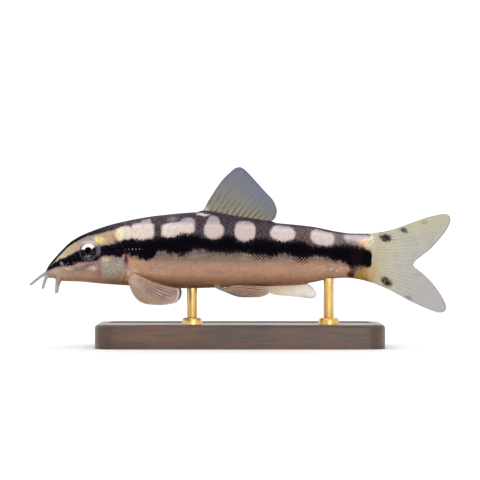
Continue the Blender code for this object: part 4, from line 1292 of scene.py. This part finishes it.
finPaints = {
    # tones from the root to the margin, the colours of the rays and of the dark lines beside them, which
    # are painted shadows of the rays, the alpha of the membrane and of the rays, then how strong the dark
    # lines, the dark membrane between the rays and the pale crests are at the root and further out
    "dorsalFin": {"tones": [(144, 137, 114), (126, 126, 118), (110, 117, 136)], "ray": (176, 169, 140),
                  "dark": (58, 46, 40), "alpha": (0.92, 0.98), "lines": (0.9, 0.06), "between": (0.15, 0.0),
                  "crest": (0.85, 0.1), "rim": (72, 80, 86), "rootShade": 0.7},
    "analFin": {"tones": [(240, 208, 168), (250, 238, 222), (254, 252, 246)], "ray": (248, 232, 210),
                "dark": (214, 196, 176), "alpha": (0.96, 0.99), "lines": (0.0, 0.0),
                "crest": (0.15, 0.1), "rim": (132, 132, 130)},
    "caudalFin": {"tones": [(200, 188, 154), (190, 185, 168), (184, 180, 174)], "ray": (198, 193, 176),
                  "dark": (136, 130, 116), "alpha": (0.94, 0.98), "lines": (0.22, 0.06),
                  "crest": (0.2, 0.1), "rim": (96, 99, 100)},
    "pectoralFin": {"tones": [(136, 104, 110), (146, 116, 102), (150, 120, 120)], "ray": (204, 180, 156),
                    "dark": (98, 68, 72), "alpha": (0.92, 0.98), "lines": (0.3, 0.2), "between": (0.5, 0.5),
                    "crest": (0.9, 0.7), "rim": (120, 100, 104), "edge": (222, 206, 206),
                    "fan": [(0.0, (150, 122, 84)), (0.3, (156, 130, 92)), (0.42, (178, 154, 130)),
                            (0.6, (138, 106, 106)), (1.0, (142, 110, 92))]},
    "pelvicFin": {"tones": [(156, 120, 88), (152, 122, 104), (160, 136, 124)], "ray": (196, 168, 138),
                  "dark": (60, 42, 50), "alpha": (0.92, 0.98), "lines": (0.5, 0.4), "between": (0.7, 0.7),
                  "crest": (0.85, 0.5), "rim": (110, 92, 96), "edge": (196, 176, 176),
                  "fan": [(0.0, (116, 90, 96)), (0.35, (124, 96, 88)), (1.0, (166, 132, 98))]},
}
finSpots = {
    "dorsalFin": [(23.5, 6.1, 0.4, 0.75, 2.2, 0, 0.6, (196, 188, 184), 0.85)],
    "caudalFin": [(50, 2.02, 0.84, 0.56, 2.2, 0.1, 0.35, (3, 2, 5), 1),
                  (52.7, 3.15, 0.5, 0.38, 2.2, 0.2, 0.5, (20, 18, 22), 0.95),
                  (55.8, 4.4, 0.35, 0.3, 2.2, 0, 0.6, (110, 108, 100), 0.5),
                  (50.1, -4.42, 0.8, 0.64, 2.2, 0.4, 0.35, (3, 2, 5), 1),
                  (53.4, -6.75, 0.45, 0.3, 2.2, 0.4, 0.6, (90, 86, 82), 0.6)],
}


def finMaterial(name):
    paint = finPaints[name]
    material = startMaterial(name + " membrane", Coat_Weight=0.06, Coat_Roughness=0.15,
                             Specular_IOR_Level=0.12)
    place = fishPlace()
    ray, out, across = (addNode("Attribute", attribute_name=key).outputs["Fac"]
                        for key in ("ray", "outward", "across"))
    colour = toneRamp(out, list(zip((0.0, 0.4, 1.0), paint["tones"])))
    cloud = noise(place, 0.8, 4)
    colour = mixTone(times(ease(cloud, 0.35, 0.7), 0.3), colour, (200, 196, 206), "MULTIPLY")
    # Each ray is paler than the membrane, with a thin dark line behind it, a painted shadow of the ray
    cell = calc("FRACT", times(across, fins[name]["rays"] - 1))
    behind = times(ease(cell, 0.08, 0.2), ease(cell, 0.5, 0.34))
    if "fan" in paint:
        colour = mixTone(0.65, colour, toneRamp(across, paint["fan"]))

    def strength(key, outer, inner):
        near, far = paint.get(key, (0.0, 0.0))
        return timesPlus(ease(out, outer, inner), near - far, far)

    broken = ease(cloud, 0.3, 0.6)
    lined = times(behind, times(strength("lines", 0.55, 0.0), broken))
    patchy = times(ease(noise(place, 1.4, 3), 0.3, 0.6), strength("between", 0.55, 0.05))
    lined = larger(lined, times(ease(ray, 0.5, 0.0), patchy))
    colour = mixTone(lined, colour, paint["dark"])
    crest = times(ease(ray, 0.35, 0.9), broken, strength("crest", 0.75, 0.1))
    colour = mixTone(crest, colour, paint["ray"])
    if "edge" in paint:
        edge = larger(ease(across, 0.045, 0.01), ease(out, 0.94, 0.985))
        colour = mixTone(times(edge, 0.8), colour, paint["edge"])
    aside = calc("ABSOLUTE", minus(across, 0.5))
    rim = larger(ease(out, 0.975, 0.992), ease(aside, 0.485, 0.497))
    colour = mixTone(times(rim, 0.8), colour, paint["rim"])
    thin, thick = paint["alpha"]
    alpha = timesPlus(ray, thick - thin, thin)
    if name == "caudalFin":
        at = split(place)
        lilac = times(ease(at[2], -1.5, -6.0), ease(at[0], 50.5, 54.0))
        colour = mixTone(times(lilac, 0.55), colour, (176, 169, 176))
        olive = times(ease(at[2], 1.0, 4.5), ease(at[0], 51.0, 55.0))
        colour = mixTone(times(olive, 0.6), colour, (184, 180, 144))
        colour = mixTone(times(ease(at[0], 49.6, 47.9), 0.85), colour, rootTone(at[2]))
    shaded = times(ease(out, 0.09, 0.01), paint.get("rootShade", 0.0))
    colour = mixTone(shaded, colour, (58, 48, 60))
    # The spots are ragged along the rays, and dotted
    ragged = onVector("MULTIPLY", drift(stretch(place, 1.2, 1.0, 4.0), 2.0, 4), (1.7, 0.0, 1.1))
    moved = onVector("ADD", place, ragged)
    dotted = timesPlus(ease(noise(place, 4.5, 2), 0.36, 0.5), 0.25, 0.75)
    for values in finSpots.get(name, []):
        colour, mask = addPatch(colour, moved, values, dotted)
        alpha = larger(alpha, mask)
    feed("Base Color", colour)
    feed("Alpha", alpha)
    feed("Roughness", timesPlus(cloud, 0.2, 0.3))
    joints = times(waves(join(out), 9.0, 0.0), ray)
    bump(timesPlus(noise(place, 6.0, 2), 0.5, joints), 0.02)
    return material


for name, fin in fins.items():
    paint = finMaterial(name)
    for side in (sides if fin["slot"] == "paired_fin" else ["right"]):
        makeFin(name, side, paint)
print("fins ready")


# The stand
stand = {
    "length": 42.0, "width": 20.0, "height": 3.5, "corner": 3.0, "edge": 0.5,
    "stepAway": 0.9, "stepWidth": 0.12, "stepDeep": 0.18,  # the shallow step round the top
    "rods": {"front": 21.5, "rear": 41.6}, "rodSides": 40, "rodSunk": 0.4, "rodInto": 0.12,
    # heights over the rod's foot, and then from its head, each with the radius there
    "footRings": [(0, 1.5), (0.9, 1.5), (1.15, 1.35), (1.25, 1.0), (1.3, 0.75)],
    "headRings": [(-1.0, 0.75), (-0.6, 0.78), (0, 0.75)],
    "smoothAngle": 35,
}


def woodMaterial():
    material = startMaterial("dark walnut", Coat_Weight=0.25, Coat_Roughness=0.25)
    place = objectPlace()
    broad = noise(stretch(place, 60.0, 420.0, 420.0), 1.0, 4)
    fine = noise(stretch(place, 160.0, 3200.0, 3200.0), 1.0, 3)
    colour = toneRamp(broad, [(0.25, (44, 27, 18)), (0.5, (76, 48, 31)), (0.75, (104, 68, 44))])
    colour = mixTone(times(ease(fine, 0.5, 0.68), 0.6), colour, (34, 20, 13))
    feed("Base Color", colour)
    feed("Roughness", timesPlus(fine, 0.2, 0.32))
    bump(fine, 0.02)
    return material


def brassMaterial():
    material = startMaterial("brushed brass", Metallic=1.0)
    place = objectPlace()
    brushed = noise(stretch(place, 900.0, 900.0, 9000.0), 1.0, 3)
    worn = ease(noise(place, 300.0, 2), 0.35, 0.7)
    feed("Base Color", mixTone(worn, (204, 168, 102), (218, 184, 118)))
    feed("Roughness", timesPlus(brushed, 0.18, 0.2))
    bump(brushed, 0.004)
    return material


def makeBase():
    size = [stand[key] * mm for key in ("length", "width", "height")]
    piece = added(bpy.ops.mesh.primitive_cube_add, size=1, location=(0, 0, size[2] / 2), scale=size)
    fixPlace(piece)
    high = (stand["height"] - 0.1) * mm
    bevelEdges(piece, lambda low, top: top - low > mm, stand["corner"], 10)
    bevelEdges(piece, lambda low, top: low > high, stand["edge"], 4)
    selectFaces(piece, [abs(face.normal.z) > 0.99 and face.center.z > high for face in piece.data.polygons])
    editMode()
    bpy.ops.mesh.inset(thickness=stand["stepAway"] * mm)
    bpy.ops.mesh.inset(thickness=stand["stepWidth"] * mm, depth=-stand["stepDeep"] * mm)
    objectMode()
    bpy.ops.object.shade_smooth_by_angle(angle=math.radians(stand["smoothAngle"]))
    finish(piece, "standBase", woodMaterial(), "base_wood", "stand_base")


def bevelEdges(piece, wanted, width, segments):  # the edges are chosen by the heights of their ends
    activate(piece)
    editMode("EDGE")
    bpy.ops.mesh.select_all(action="DESELECT")
    objectMode()
    for edge in piece.data.edges:
        edge.select = wanted(*sorted(piece.data.vertices[v].co.z for v in edge.vertices))
    editMode("EDGE")
    bpy.ops.mesh.bevel(offset=width * mm, segments=segments)
    objectMode()


def makeRod(name, s, material):  # a rod that stands in a collar and ends in a small pad under the belly
    foot = (stand["height"] - stand["rodSunk"]) * mm
    top = (body["axis"] + float(smoothAt(body["belly"], np.array(s))) + stand["rodInto"]) * mm
    rings = [(foot + up * mm, radius) for up, radius in stand["footRings"]]
    rings += [(top + up * mm, radius) for up, radius in stand["headRings"]]
    x = (s - body["middle"]) * mm
    piece = added(bpy.ops.mesh.primitive_circle_add, vertices=stand["rodSides"],
                  radius=rings[0][1] * mm, fill_type="NGON", location=(x, 0, foot))
    fixPlace(piece)
    editMode()
    bpy.ops.mesh.select_all(action="SELECT")
    for (height, radius), (nextHeight, nextRadius) in zip(rings, rings[1:]):
        extrude(0, 0, nextHeight - height)
        ratio = nextRadius / radius
        bpy.ops.transform.resize(value=(ratio, ratio, 1), center_override=(x, 0, nextHeight))
    turnFaces()
    bpy.ops.object.shade_smooth_by_angle(angle=math.radians(stand["smoothAngle"]))
    finish(piece, "standRod_" + name, material, "rod_brass", "stand_rod_" + name)


makeBase()
brass = brassMaterial()
for name, s in stand["rods"].items():
    makeRod(name, s, brass)
print("stand ready")
